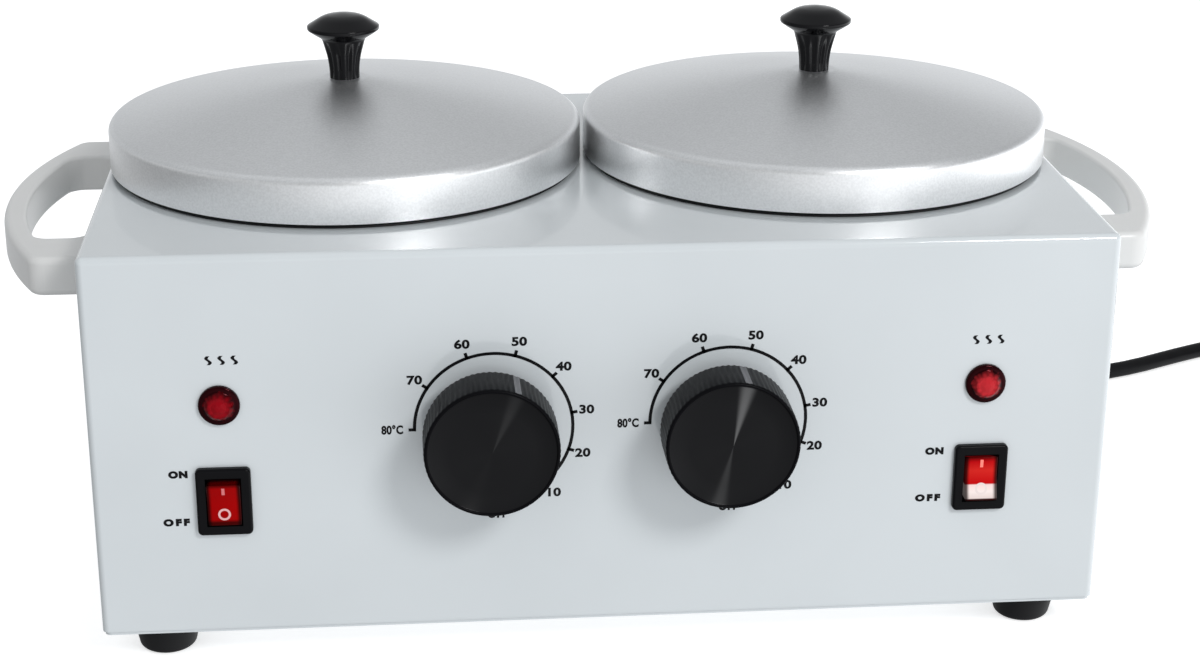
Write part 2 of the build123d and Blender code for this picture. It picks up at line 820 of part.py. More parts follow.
# Pilot lamps: domed lenses on the panel, with the lamp bodies and push-on rings behind
for name, side in sides.items():
    spot = (side * control_spacing / 2, lamp_z)
    with BuildPart() as lamp_lens:
        with BuildSketch(facing_front(case_front)):
            with Locations(spot):
                Circle(lens_radius)
        extrude(amount=lens_rim)
        fillet(lamp_lens.edges().group_by(Axis.Y)[0], radius=lens_rim / 3)
        with BuildSketch(facing_front(case_front - lens_rim)):
            with Locations(spot):
                Circle(lens_dome_radius)
        extrude(amount=lens_dome)
        fillet(lamp_lens.edges().group_by(Axis.Y)[0], radius=0.8 * lens_dome)
    keep(lamp_lens, f"{name}_lamp_lens")

    with BuildPart() as lamp_body:
        with BuildSketch(facing_front(case_front)):
            with Locations(spot):
                Circle(lamp_radius)
        extrude(amount=-lamp_depth)
        with BuildSketch(facing_front(case_front + lamp_depth)):
            with Locations(spot):
                with GridLocations(lamp_radius, 0, 2, 1):
                    Rectangle(blade_sheet, blade_width / 2)
        extrude(amount=-blade_length)
    keep(lamp_body, f"{name}_lamp_body")

with BuildPart() as lamp_rings:
    with BuildSketch(facing_front(panel_back)):
        with Locations(*lamp_points):
            Circle(lamp_ring_radius)
            Circle(lamp_radius + thread_clearance, mode=Mode.SUBTRACT)
    extrude(amount=-washer_sheet)
keep(lamp_rings, "lamp_rings")

# Pots: drawn aluminium, standing in the wells with their rims above the case
for name, side in sides.items():
    wax_pot = turned(
        side * well_spacing / 2,
        well_y,
        [
            (0, pot_bottom, 0),
            (pot_outer, pot_bottom, pot_corner + pot_sheet),
            (pot_outer, pot_top - pot_sheet, pot_rim_round),
            (pot_rim_radius - pot_sheet, pot_top - pot_sheet, pot_rim_round),
            (pot_rim_radius - pot_sheet, pot_top - pot_rim_lip, 0),
            (pot_rim_radius, pot_top - pot_rim_lip, 0),
            (pot_rim_radius, pot_top, pot_rim_round + pot_sheet),
            (pot_outer - pot_sheet, pot_top, pot_rim_round + pot_sheet),
            (pot_outer - pot_sheet, pot_bottom + pot_sheet, pot_corner),
            (0, pot_bottom + pot_sheet, 0),
        ],
    )
    keep(wax_pot, f"{name}_wax_pot")

# Lids: spun sheet with a straight skirt and a low crown rising to a flat pad
for name, side in sides.items():
    x = side * well_spacing / 2
    crown_middle = (lid_radius + lid_pad_radius) / 2
    pressing = turned(
        x,
        well_y,
        [
            (0, lid_bottom, 0),
            (lid_radius, lid_bottom, 0),
            (lid_radius, lid_ring, lid_edge_radius),
            (crown_middle, lid_ring + lid_crown / 2 + lid_crown_bulge, lid_crown_radius),
            (lid_pad_radius, lid_top, lid_pad_radius),
            (0, lid_top, 0),
        ],
    )
    with BuildPart() as lid:
        add(pressing.part)
        offset(amount=-lid_sheet, openings=lid.faces().sort_by(Axis.Z)[0])
        with BuildSketch(Plane.XY.offset(lid_top)):
            with Locations((x, well_y)):
                Circle(screw_radius + hole_clearance)
        extrude(amount=-2 * lid_sheet, mode=Mode.SUBTRACT)
    keep(lid, f"{name}_lid")

    moulding = turned(
        x,
        well_y,
        [
            (0, lid_top, 0),
            (stem_foot_radius, lid_top, 0),
            (stem_waist_radius, lid_top + stem_waist_height, 10 * stem_waist_radius),
            (stem_head_radius, lid_top + knob_height - cap_dome - cap_edge - cap_underside, 0),
            (cap_radius, lid_top + knob_height - cap_dome - cap_edge, cap_edge / 4),
            (cap_radius, lid_top + knob_height - cap_dome, cap_edge / 4),
            (cap_radius / 2, lid_top + knob_height - cap_dome / 5, cap_radius),
            (0, lid_top + knob_height, 0),
        ],
    )
    with BuildPart() as lid_knob:
        add(moulding.part)
        with BuildSketch(Plane.XY.offset(lid_top + 1)):
            with Locations((x, well_y)):
                with PolarLocations(stem_waist_radius + flute_radius / 3, flute_count):
                    Circle(flute_radius)
        extrude(amount=knob_height - cap_dome - cap_edge - cap_underside - 2, mode=Mode.SUBTRACT)
        with BuildSketch(Plane.XY.offset(lid_top)):
            with Locations((x, well_y)):
                Circle(screw_radius + thread_clearance)
        extrude(amount=knob_screw_depth + 1, mode=Mode.SUBTRACT)
    keep(lid_knob, f"{name}_lid_knob")

    washer_face = lid_top - lid_sheet - washer_sheet
    lid_screw = screws(
        facing_down(washer_face), [(x, -well_y)], washer_sheet + lid_sheet + knob_screw_depth
    )
    keep(lid_screw, f"{name}_lid_screw")

    with BuildPart() as lid_washer:
        with BuildSketch(Plane.XY.offset(washer_face)):
            with Locations((x, well_y)):
                Circle(washer_radius)
                Circle(screw_radius + hole_clearance, mode=Mode.SUBTRACT)
        extrude(amount=washer_sheet)
    keep(lid_washer, f"{name}_lid_washer")

# Terminal block on the base plate, where the cord comes in
with BuildPart() as terminal_block:
    with BuildSketch(Plane.XY.offset(shell_bottom)):
        with Locations((gland_x, case_rear - block_inset)):
            Rectangle(block_length, block_width)
    extrude(amount=block_height)
    fillet(terminal_block.edges().group_by(Axis.Z)[-1], radius=block_bore / 2)
    with BuildSketch(facing_front(case_rear - block_inset)):
        with Locations((gland_x, shell_bottom + block_height / 3)):
            with GridLocations(block_pitch, 0, 3, 1):
                Circle(block_bore)
    extrude(amount=block_width / 2, both=True, mode=Mode.SUBTRACT)
    with BuildSketch(Plane.XY.offset(shell_bottom + block_height)):
        with Locations((gland_x, case_rear - block_inset)):
            with GridLocations(block_pitch, block_width / 2, 3, 2):
                Circle(block_bore)
    extrude(amount=-block_height / 3, mode=Mode.SUBTRACT)
keep(terminal_block, "terminal_block")

# Strain relief: a ribbed rubber sleeve snapped into the rear wall
with BuildPart() as strain_relief:
    with BuildSketch(Plane.XY.offset(gland_z)):
        with Locations((gland_x, case_rear)):
            Polygon(
                (0, -sheet - gland_snap),
                (gland_neck_radius, -sheet - gland_snap),
                (gland_snap_radius, -sheet),
                (gland_neck_radius, -sheet),
                (gland_neck_radius, 0),
                (gland_flange_radius, 0),
                (gland_flange_radius, gland_flange),
                (gland_root_radius, gland_flange),
                (gland_tip_radius, gland_length),
                (0, gland_length),
                align=None,
            )
            groove_step = (gland_length - gland_flange) / (gland_grooves + 1)
            for groove in range(1, gland_grooves + 1):
                taper = (gland_root_radius - gland_tip_radius) * groove / (gland_grooves + 1)
                with Locations((gland_root_radius - taper, gland_flange + groove * groove_step)):
                    Rectangle(2 * gland_groove_depth, gland_groove_width, mode=Mode.SUBTRACT)
    revolve(axis=Axis((gland_x, case_rear, gland_z), (0, 1, 0)))
keep(strain_relief, "strain_relief")

# Power cord: out of the sleeve, down to the table and round behind the warmer
cord_route = [
    (gland_x, case_rear + gland_length, gland_z),
    (gland_x, 149, gland_z),
    (33.5, 174, 19.5),
    (47, 194, 8),
    (69.5, 205.5, cord_z),
    (97.9, 200.5, cord_z),
    (123.2, 180.5, cord_z),
    (148.5, 153.3, cord_z),
    (176.8, 130.5, cord_z),
    (213.3, 125.9, cord_z),
    (265.9, 154.2, cord_z),
    (304.4, 166.6, cord_z),
]
cord_bends = []
for before, corner, after in zip(cord_route, cord_route[1:], cord_route[2:]):
    incoming = Vector(*corner) - Vector(*before)
    outgoing = Vector(*after) - Vector(*corner)
    half_turn = radians(incoming.get_angle(outgoing)) / 2
    cord_bends.append(0.45 * min(incoming.length, outgoing.length) / tan(half_turn))
with BuildPart() as power_cord:
    with BuildLine() as cord_path:
        FilletPolyline(*cord_route, radius=cord_bends)
    with BuildSketch(Plane(origin=cord_route[0], z_dir=(0, 1, 0))):
        Circle(cord_radius)
    sweep(path=cord_path.wire())
keep(power_cord, "power_cord")

# Cord coil: two turns spiralling in on the table and two and a quarter spiralling out on top
coil_inner_radius = 27.0
coil_pitch = 7.0
coil_lift = 6.9
coil_turns_in = 2.0
coil_turns_out = 2.25
coil_lead = cord_diameter
coil_tail = 32.0
coil_rate = coil_pitch / (2 * pi)


def coil_radius(turn):
    """Radius and its rate of change, with the turn counted in radians from the innermost."""
    if abs(turn) > pi / 2:
        return coil_inner_radius + coil_rate * abs(turn), coil_rate * turn / abs(turn)
    return coil_inner_radius + coil_rate * (turn**2 / pi + pi / 4), coil_rate * 2 * turn / pi


def coil_height(turn):
    """Height and its rate of change, rising by a layer in the half turn at the middle."""
    share = min(max(turn / pi + 0.5, 0), 1)
    return cord_z + coil_lift * (1 - cos(pi * share)) / 2, coil_lift * sin(pi * share) / 2


def coil_point(turn):
    """A point of the coil and its heading, going clockwise round the middle of the coil."""
    radius, radius_rate = coil_radius(turn)
    height, height_rate = coil_height(turn)
    angle = coil_start_angle - (turn - coil_first)
    point = coil_centre + Vector(radius * cos(angle), radius * sin(angle), height)
    heading = Vector(
        radius_rate * cos(angle) + radius * sin(angle),
        radius_rate * sin(angle) - radius * cos(angle),
        height_rate,
    )
    return point, heading.normalized()


cord_end = Vector(*cord_route[-1])
cord_heading = (cord_end - Vector(*cord_route[-2])).normalized()
coil_first = -2 * pi * coil_turns_in
first_radius, first_rate = coil_radius(coil_first)
coil_start_angle = atan2(cord_heading.Y, cord_heading.X) + pi / 2 - atan2(first_rate, first_radius)
coil_start = cord_end + cord_heading * coil_lead
coil_centre = Vector(
    coil_start.X - first_radius * cos(coil_start_angle),
    coil_start.Y - first_radius * sin(coil_start_angle),
    0,
)
quarters = round(4 * (coil_turns_in + coil_turns_out))
coil_knots = [coil_point(coil_first + quarter * pi / 2) for quarter in range(quarters + 1)]
coil_end, coil_heading = coil_knots[-1]
plug_start = coil_end + coil_heading * coil_tail
with BuildPart() as cord_coil:
    with BuildLine() as coil_path:
        Line(cord_end, coil_knots[0][0])
        for (here, leaving), (there, arriving) in zip(coil_knots, coil_knots[1:]):
            chord = there - here
            both = leaving + arriving
            slack = 1 - leaving.dot(arriving)
            slope = chord.dot(both)
            reach = (sqrt(slope**2 + 2 * slack * chord.dot(chord)) - slope) / (2 * slack)
            joint = (here + leaving * reach + there - arriving * reach) / 2
            TangentArc(here, joint, tangent=leaving)
            TangentArc(joint, there, tangent=there - arriving * reach - joint)
        Line(coil_end, plug_start)
    with BuildSketch(Plane(origin=cord_end, z_dir=cord_heading)):
        Circle(cord_radius)
    sweep(path=coil_path.wire())
keep(cord_coil, "cord_coil")

# Plug: moulded on the cord, with a tapered boot and two flat pins
plug_level = Plane(origin=plug_start, x_dir=(coil_heading.Y, -coil_heading.X, 0), z_dir=coil_heading)
plug_height = 2 * (coil_end.Z - cord_floor_gap)
plug_axis = Axis(plug_start, coil_heading)
with BuildPart() as plug_body:
    with BuildSketch(plug_level.offset(plug_boot)):
        RectangleRounded(plug_width, plug_height, plug_round)
    extrude(amount=plug_length)
    rims = plug_body.edges().group_by(plug_axis)
    fillet(rims[0] + rims[-1], radius=plug_round / 2)
    with BuildSketch(plug_level):
        Circle(plug_boot_start)
    with BuildSketch(plug_level.offset(plug_boot)):
        Circle(plug_boot_end)
    loft()
keep(plug_body, "plug_body")

with BuildPart() as plug_pins:
    with BuildSketch(plug_level.offset(plug_boot + plug_length)):
        with GridLocations(pin_pitch, 0, 2, 1):
            Rectangle(pin_sheet, pin_width)
    extrude(amount=pin_length)
    chamfer(plug_pins.edges().group_by(plug_axis)[-1], length=pin_sheet / 3)
keep(plug_pins, "plug_pins")

# Proof that the cord is whole: its bends, its lengths and its clearance from itself
print("cord bend radii", [round(bend, 1) for bend in cord_bends])
for label, piece, path in (("cord", power_cord, cord_path), ("coil", cord_coil, coil_path)):
    length = path.wire().length
    share = piece.part.volume / (length * pi * cord_radius**2)
    print(label, "length", round(length, 1), "volume over section times length", round(share, 4))
spots = [coil_path.wire().position_at(step / 600) for step in range(601)]
apart = round(601 * 3 * cord_diameter / coil_path.wire().length)
least = min((spots[j] - spots[i]).length for i in range(601) for j in range(i + apart, 601))
print("least gap of the coil from itself", round(least - cord_diameter, 2))
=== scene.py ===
import math

import bmesh
import bpy
from mathutils import Matrix, Vector


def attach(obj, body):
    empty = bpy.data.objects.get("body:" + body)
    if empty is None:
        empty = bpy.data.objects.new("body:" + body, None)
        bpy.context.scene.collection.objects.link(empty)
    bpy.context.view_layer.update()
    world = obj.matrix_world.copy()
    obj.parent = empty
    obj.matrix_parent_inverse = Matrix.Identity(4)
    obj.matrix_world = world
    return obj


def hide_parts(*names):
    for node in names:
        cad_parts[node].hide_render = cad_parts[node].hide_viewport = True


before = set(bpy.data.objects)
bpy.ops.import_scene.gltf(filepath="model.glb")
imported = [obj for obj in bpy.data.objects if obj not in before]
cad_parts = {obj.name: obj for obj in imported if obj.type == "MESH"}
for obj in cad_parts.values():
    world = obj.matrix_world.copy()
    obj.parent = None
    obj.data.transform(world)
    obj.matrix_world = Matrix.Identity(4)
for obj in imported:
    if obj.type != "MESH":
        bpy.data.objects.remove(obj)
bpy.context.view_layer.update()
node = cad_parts

# Camera: a little to the left of the middle and above the lids, looking slightly down and
# to the right, with a 69 mm lens on a 36 mm wide frame. Sizes and places here and below are
# in millimetres, and MM makes metres of them.
MM = 0.001
camera_place = Vector((-58.8, -700.3, 335.7))
camera_pan, camera_tilt, camera_roll = -0.0905, -0.3564, -0.0049
viewer = bpy.data.objects.new("viewer", bpy.data.cameras.new("viewer"))
viewer.data.sensor_fit = "HORIZONTAL"
viewer.data.sensor_width = 36.0
viewer.data.lens = 69.44
viewer.data.clip_end = 50.0
look = Matrix.Rotation(camera_pan, 3, "Z") @ Matrix.Rotation(camera_tilt, 3, "X")
look = look @ Matrix.Rotation(camera_roll, 3, "Y")
stance = Matrix((look.col[0], look.col[2], -look.col[1])).transposed().to_4x4()
stance.translation = camera_place * MM
viewer.matrix_world = stance
bpy.context.scene.collection.objects.link(viewer)
bpy.context.scene.camera = viewer

# Power cord: a 6 mm round rubber lead. It leaves the sleeve in the rear wall, drops to the
# table, runs along it behind the case and ends in a neat coil, with the plug beside it.
cord_diameter = 6.0 * MM
cord_floor = 3.1
cord_route = [
    (30, 123.5, 30), (30, 149, 30), (33.5, 174, 19.5), (47, 194, 8),
    (69.5, 205.5, cord_floor), (97.9, 200.5, cord_floor), (123.2, 180.5, cord_floor),
    (148.5, 153.3, cord_floor), (176.8, 130.5, cord_floor), (213.3, 125.9, cord_floor),
    (265.9, 154.2, cord_floor), (304.4, 166.6, cord_floor),
]
coil_inner, coil_pitch, coil_lift = 27.0, 7.0, 6.9
coil_middle = Vector((323.736, 129.769, 0))
coil_turns_in, coil_turns_out = 2.0, 2.25
coil_start = math.radians(109.409)
points_per_turn = 16
for step in range(int((coil_turns_in + coil_turns_out) * points_per_turn) + 1):
    turn = (step / points_per_turn - coil_turns_in) * 2 * math.pi
    if abs(turn) > math.pi / 2:
        wind = abs(turn)
    else:
        wind = turn**2 / math.pi + math.pi / 4
    reach = coil_inner + coil_pitch * wind / (2 * math.pi)
    share = min(max(turn / math.pi + 0.5, 0), 1)
    rise = cord_floor + coil_lift * (1 - math.cos(math.pi * share)) / 2
    angle = coil_start - step / points_per_turn * 2 * math.pi
    x = coil_middle.x + reach * math.cos(angle)
    y = coil_middle.y + reach * math.sin(angle)
    cord_route.append((x, y, rise))
coil_exit = Vector((364.056, 143.976, 10.0))
coil_heading = Vector((0.356769, -0.934192, 0))
for distance in (12, 32):
    cord_route.append(tuple(coil_exit + coil_heading * distance))
lead = bpy.data.curves.new("power_lead", "CURVE")
lead.dimensions = "3D"
line = lead.splines.new("NURBS")
line.points.add(len(cord_route) - 1)
for point, (x, y, z) in zip(line.points, cord_route):
    point.co = (x * MM, y * MM, z * MM, 1)
line.order_u = 3
line.use_endpoint_u = True
line.resolution_u = 6
lead.bevel_depth = cord_diameter / 2
lead.bevel_resolution = 5
lead.use_fill_caps = True


def placed(name, shape, x=0.0, y=0.0, z=0.0, turned=(0, 0, 0)):
    """Puts a mesh or a curve in the scene, at a place in millimetres."""
    made = bpy.data.objects.new(name, shape)
    made.location = (x * MM, y * MM, z * MM)
    made.rotation_euler = turned
    bpy.context.scene.collection.objects.link(made)
    return made


def new_finish(name):
    """A finish to work on: the material, its nodes and the skin that they feed."""
    made = bpy.data.materials.new(name)
    made.use_nodes = True
    return made, made.node_tree, made.node_tree.nodes["Principled BSDF"]


def speckle(tree, spot, scale, detail):
    """An uneven pattern over the spots of a piece, finer with a larger scale."""
    made = tree.nodes.new("ShaderNodeTexNoise")
    made.inputs["Scale"].default_value = scale
    made.inputs["Detail"].default_value = detail
    tree.links.new(spot, made.inputs["Vector"])
    return made.outputs["Fac"]


def graded(tree, pattern, stops):
    """Colours for a pattern, from a list of levels with the colour at each."""
    made = tree.nodes.new("ShaderNodeValToRGB")
    ramp = made.color_ramp.elements
    for end in (0, -1):
        ramp[end].position = stops[end][0]
        ramp[end].color = (*stops[end][1], 1)
    for level, colour in stops[1:-1]:
        ramp.new(level).color = (*colour, 1)
    tree.links.new(pattern, made.inputs["Fac"])
    return made.outputs["Color"]


def ranged(tree, value, start, end, first, last, easing="LINEAR"):
    """A value that goes from start to end, turned into one that goes from first to last."""
    made = tree.nodes.new("ShaderNodeMapRange")
    made.interpolation_type = easing
    limits = {"From Min": start, "From Max": end, "To Min": first, "To Max": last}
    for socket, limit in limits.items():
        made.inputs[socket].default_value = limit
    tree.links.new(value, made.inputs["Value"])
    return made.outputs["Result"]


def raised(tree, pattern, depth, strength=1.0, under=None):
    """A relief of the pattern, its depth in millimetres, over another one if there is one."""
    made = tree.nodes.new("ShaderNodeBump")
    made.inputs["Strength"].default_value = strength
    made.inputs["Distance"].default_value = depth * MM
    tree.links.new(pattern, made.inputs["Height"])
    if under:
        tree.links.new(under, made.inputs["Normal"])
    return made.outputs["Normal"]


def moulded(name, colour, mottle, rough, grain, depth, polish=0.5):
    """A moulded skin: faint mottling of the colour, uneven gloss and a fine grain."""
    made, tree, skin = new_finish(name)
    skin.inputs["Specular IOR Level"].default_value = polish
    place = tree.nodes.new("ShaderNodeTexCoord").outputs["Object"]
    blotch = speckle(tree, place, grain / 12, 5)
    dark = [c * (1 - mottle) for c in colour]
    pale = [min(c * (1 + mottle), 1) for c in colour]
    tint = graded(tree, blotch, [(0.3, dark), (0.7, pale)])
    tree.links.new(tint, skin.inputs["Base Color"])
    shine = ranged(tree, blotch, 0, 1, rough * 0.85, rough * 1.15)
    tree.links.new(shine, skin.inputs["Roughness"])
    relief = raised(tree, speckle(tree, place, grain, 3), depth, 0.6)
    tree.links.new(relief, skin.inputs["Normal"])
    return made


def finished(finish, *names):
    """Gives solids of the frame their finish."""
    for name in names:
        for holder in node[name].material_slots:
            holder.material = finish


rubber_black = (0.006, 0.006, 0.007)
lead.materials.append(
    moulded("cord_rubber", rubber_black, mottle=0.15, rough=0.42, grain=1800, depth=0.03, polish=0.12)
)
power_lead = placed("power_lead", lead)
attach(power_lead, "housing")
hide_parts("power_cord", "cord_coil")

# Plug and strain relief: one moulding each in the cord's own rubber, the plug with two
# flat brass pins. The strain relief is a ribbed sleeve snapped into the rear wall.
plug_black = (0.014, 0.014, 0.015)
plug_rubber = moulded("plug_rubber", plug_black, mottle=0.15, rough=0.38, grain=1400, depth=0.04)
finished(plug_rubber, "plug_body", "strain_relief")


def plated(name, colour, rough, streak):
    """Plated metal: bright, with a slight haze and the fine marks of a barrel finish."""
    made, tree, skin = new_finish(name)
    skin.inputs["Metallic"].default_value = 1.0
    haze = speckle(tree, tree.nodes.new("ShaderNodeTexCoord").outputs["Object"], streak, 6)
    tint = graded(tree, haze, [(0, [c * 0.8 for c in colour]), (1, colour)])
    tree.links.new(tint, skin.inputs["Base Color"])
    shine = ranged(tree, haze, 0, 1, rough * 0.7, rough * 1.3)
    tree.links.new(shine, skin.inputs["Roughness"])
    return made


finished(plated("pin_brass", (0.78, 0.62, 0.34), rough=0.28, streak=900), "plug_pins")

# Outer case: one box of 1 mm sheet steel, folded and welded at the corners, sprayed in
# a light grey-white gloss enamel that has flowed out with a faint orange peel.
enamel_colour = (0.675, 0.716, 0.737)
cloud_scale = 14
peel_scale, peel_depth = 420, 0.03
enamel, tree, skin = new_finish("enamel")
skin.inputs["IOR"].default_value = 1.5
skin.inputs["Coat Weight"].default_value = 1.0
skin.inputs["Coat Roughness"].default_value = 0.03
place = tree.nodes.new("ShaderNodeTexCoord").outputs["Object"]
cloud = speckle(tree, place, cloud_scale, 4)
dark = [c * 0.975 for c in enamel_colour]
pale = [c * 1.02 for c in enamel_colour]
tree.links.new(graded(tree, cloud, [(0.35, dark), (0.65, pale)]), skin.inputs["Base Color"])
tree.links.new(ranged(tree, cloud, 0, 1, 0.15, 0.20), skin.inputs["Roughness"])
orange_peel = raised(tree, speckle(tree, place, peel_scale, 2), peel_depth, 0.25)
tree.links.new(orange_peel, skin.inputs["Normal"])
finished(enamel, "outer_case")

# Base plate: flat sheet in the same enamel with two groups of air slots, held to the lip
# of the case by zinc plated screws.
zinc = plated("zinc", (0.72, 0.72, 0.71), rough=0.32, streak=700)
finished(enamel, "base_plate")
finished(zinc, "base_screws")

# Feet: four black rubber bumpers, moulded, each held under the base plate by a screw up its
# middle and a nut inside the case.
foot_rubber = moulded(
    "foot_rubber", rubber_black, mottle=0.2, rough=0.55, grain=900, depth=0.06, polish=0.25
)
finished(foot_rubber, "rubber_feet")
finished(zinc, "foot_screws", "foot_nuts")

# Panel print: black ink screened on the enamel. A ring with a tick for each number round
# either dial, the numbers, ON and OFF by each switch, and a heat sign over each lamp.
panel_y = -77.5
ink_lift = 0.06
facing_front = (math.pi / 2, 0, 0)
deep_black = (0.003, 0.003, 0.004)
ink = moulded("ink", deep_black, mottle=0.2, rough=0.4, grain=2500, depth=0.005, polish=0.15)
# The share of a letter's size that a capital is high.
capital_share = 0.72


def mesh_of(form, name, bend=None):
    """A mesh of a form with its faces outward, smooth over bends up to so many degrees."""
    mesh = bpy.data.meshes.new(name)
    bmesh.ops.recalc_face_normals(form, faces=form.faces)
    form.to_mesh(mesh)
    form.free()
    if bend:
        mesh.shade_smooth()
        mesh.set_sharp_from_angle(angle=math.radians(bend))
    return mesh


def flat_ink(name, outlines):
    """Flat printed shapes on the front panel, each a list of corners in x and z."""
    form = bmesh.new()
    y = (panel_y - ink_lift) * MM
    for outline in outlines:
        form.faces.new([form.verts.new((x * MM, y, z * MM)) for x, z in outline])
    mesh = mesh_of(form, name)
    mesh.materials.append(ink)
    made = placed(name, mesh)
    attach(made, "housing")
    return made


def printed_word(name, words, x, z, height, stretch=1.0, spacing=1.05, weight=0.15):
    """A word or number printed on the front panel, centred on x and z."""
    letters = bpy.data.curves.new(name, "FONT")
    letters.body = words
    letters.size = height / capital_share * MM
    letters.offset = weight * MM
    letters.resolution_u = 5
    letters.align_x = "CENTER"
    letters.align_y = "CENTER"
    letters.space_character = spacing
    letters.materials.append(ink)
    made = placed(name, letters, x, panel_y - ink_lift, z, facing_front)
    made.scale = (stretch, 1, 1)
    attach(made, "housing")
    return made


scale_places = {"left": -33.2, "right": 35.6}
scale_z = 74.4
ring_radius, ring_line = 22.6, 0.95
ring_start, ring_sweep, ring_steps = 180, 231, 120
tick_length = 2.2
number_height, number_reach, number_stretch = 2.6, 4.9, 1.2
hottest, hottest_reach, hottest_stretch = "80°C", 6.9, 0.8
scale_marks = {
    "10": -51, "20": -19, "30": 10, "40": 42, "50": 74, "60": 109, "70": 146, hottest: 180,
}
off_mark_shift, off_mark_drop = 0.7, 27.7
for side, x in scale_places.items():
    strokes = []
    inner, outer = ring_radius, ring_radius + ring_line
    for step in range(ring_steps):
        start, end = [
            math.radians(ring_start - ring_sweep * (step + k) / ring_steps) for k in (0, 1)
        ]
        strokes.append([
            (x + r * math.cos(a), scale_z + r * math.sin(a))
            for r, a in ((inner, start), (inner, end), (outer, end), (outer, start))
        ])
    for words, degrees in scale_marks.items():
        angle = math.radians(degrees)
        out = Vector((math.cos(angle), math.sin(angle)))
        across = Vector((-out.y, out.x)) * ring_line / 2
        middle = Vector((x, scale_z))
        tip = ring_radius + tick_length
        strokes.append([
            tuple(middle + out * r + across * s)
            for r, s in ((ring_radius, -1), (tip, -1), (tip, 1), (ring_radius, 1))
        ])
        if words == hottest:
            reach, stretch = hottest_reach, hottest_stretch
        else:
            reach, stretch = number_reach, number_stretch
        spot = middle + out * (ring_radius + reach)
        printed_word(f"{side}_mark_{words[:2]}", words, spot.x, spot.y, number_height, stretch)
    printed_word(
        f"{side}_mark_off", "OFF", x + off_mark_shift, scale_z - off_mark_drop, number_height,
        stretch=0.85, spacing=1.1, weight=0.18,
    )
    flat_ink(f"{side}_dial_ring", strokes)

control_places = {"left": -112.0, "right": 112.0}
print_shift = {"left": 0, "right": -1.1}
word_height, word_weight = 2.0, 0.22
# How far aside each word stands, its height on the panel, its stretch and its spacing.
switch_words = {"ON": (-12.9, 62.4, 1.15, 1.2), "OFF": (-14.2, 47.2, 1.2, 1.45)}
wave_shift, wave_pitch, wave_sway, wave_line = 1.3, 3.7, 0.55, 0.5
wave_foot, wave_rise, wave_steps = 96.3, 0.27, 10
for side, x in control_places.items():
    edge = x + print_shift[side]
    for words, (aside, z, stretch, spacing) in switch_words.items():
        name = f"{side}_word_{words.lower()}"
        printed_word(name, words, edge + aside, z, word_height, stretch, spacing, word_weight)
    waves = []
    for column in (-1, 0, 1):
        centre = edge + wave_shift + wave_pitch * column
        for step in range(wave_steps):
            low, high = [wave_foot + wave_rise * (step + k) for k in (0, 1)]
            start, end = [
                centre + wave_sway * math.sin(2 * math.pi * (step + k) / wave_steps) for k in (0, 1)
            ]
            waves.append([
                (start - wave_line, low), (start + wave_line, low),
                (end + wave_line, high), (end - wave_line, high),
            ])
    flat_ink(f"{side}_heat_sign", waves)

# Handles: a loop of white gloss plastic on each side wall, injection moulded and held by
# two screws with washers from inside the case.
handle_plastic = moulded(
    "handle_plastic", (0.74, 0.74, 0.73), mottle=0.015, rough=0.30, grain=500, depth=0.006
)
finished(handle_plastic, "left_handle", "right_handle")
finished(zinc, "handle_screws", "handle_washers")

# Wells and pots: drawn aluminium. Each well hangs by its flange in the top of the case and
# the pot stands in it, with a rolled rim that the lid's skirt goes over. A thin black ring
# laid on the flange under the skirt's edge is painted shade: it darkens the gap under the lid.
well_places = {"left": -75.0, "right": 75.0}
well_y = 18.0


def worked_out(tree, kind, operation, *values):
    """One sum on colours, directions or numbers. The kind of sum is Math or VectorMath."""
    made = tree.nodes.new("ShaderNode" + kind)
    made.operation = operation
    for socket, value in zip(made.inputs, values):
        if isinstance(value, bpy.types.NodeSocket):
            tree.links.new(value, socket)
        else:
            socket.default_value = value
    one_number = kind == "Math" or operation in ("LENGTH", "DOT_PRODUCT")
    return made.outputs["Value" if one_number else "Vector"]


def spun_metal(name, colour, rough, line_depth, grain_depth, grain, ring_scale=900):
    """Spun or drawn aluminium: rings left by the tool, under a fine silky grain."""
    made, tree, skin = new_finish(name)
    skin.inputs["Metallic"].default_value = 1.0
    skin.inputs["Anisotropic"].default_value = 0.35
    skin.inputs["Anisotropic Rotation"].default_value = 0.25
    turning = tree.nodes.new("ShaderNodeTangent")
    turning.direction_type = "RADIAL"
    turning.axis = "Z"
    tree.links.new(turning.outputs["Tangent"], skin.inputs["Tangent"])
    place = tree.nodes.new("ShaderNodeTexCoord").outputs["Object"]
    apart = tree.nodes.new("ShaderNodeSeparateXYZ")
    tree.links.new(place, apart.inputs["Vector"])
    level = worked_out(tree, "VectorMath", "MULTIPLY", place, (1, 1, 0))
    ring = tree.nodes.new("ShaderNodeCombineXYZ")
    tree.links.new(worked_out(tree, "VectorMath", "LENGTH", level), ring.inputs["X"])
    tree.links.new(apart.outputs["Z"], ring.inputs["Z"])
    rings = speckle(tree, ring.outputs["Vector"], ring_scale, 4)
    silk = speckle(tree, place, grain, 4)
    dark = [c * 0.93 for c in colour]
    pale = [min(c * 1.03, 1) for c in colour]
    tint = graded(tree, silk, [(0.35, dark), (0.65, pale)])
    tree.links.new(tint, skin.inputs["Base Color"])
    shine = ranged(tree, silk, 0, 1, rough * 0.85, rough * 1.15)
    tree.links.new(shine, skin.inputs["Roughness"])
    relief = raised(tree, silk, grain_depth, under=raised(tree, rings, line_depth))
    tree.links.new(relief, skin.inputs["Normal"])
    return made


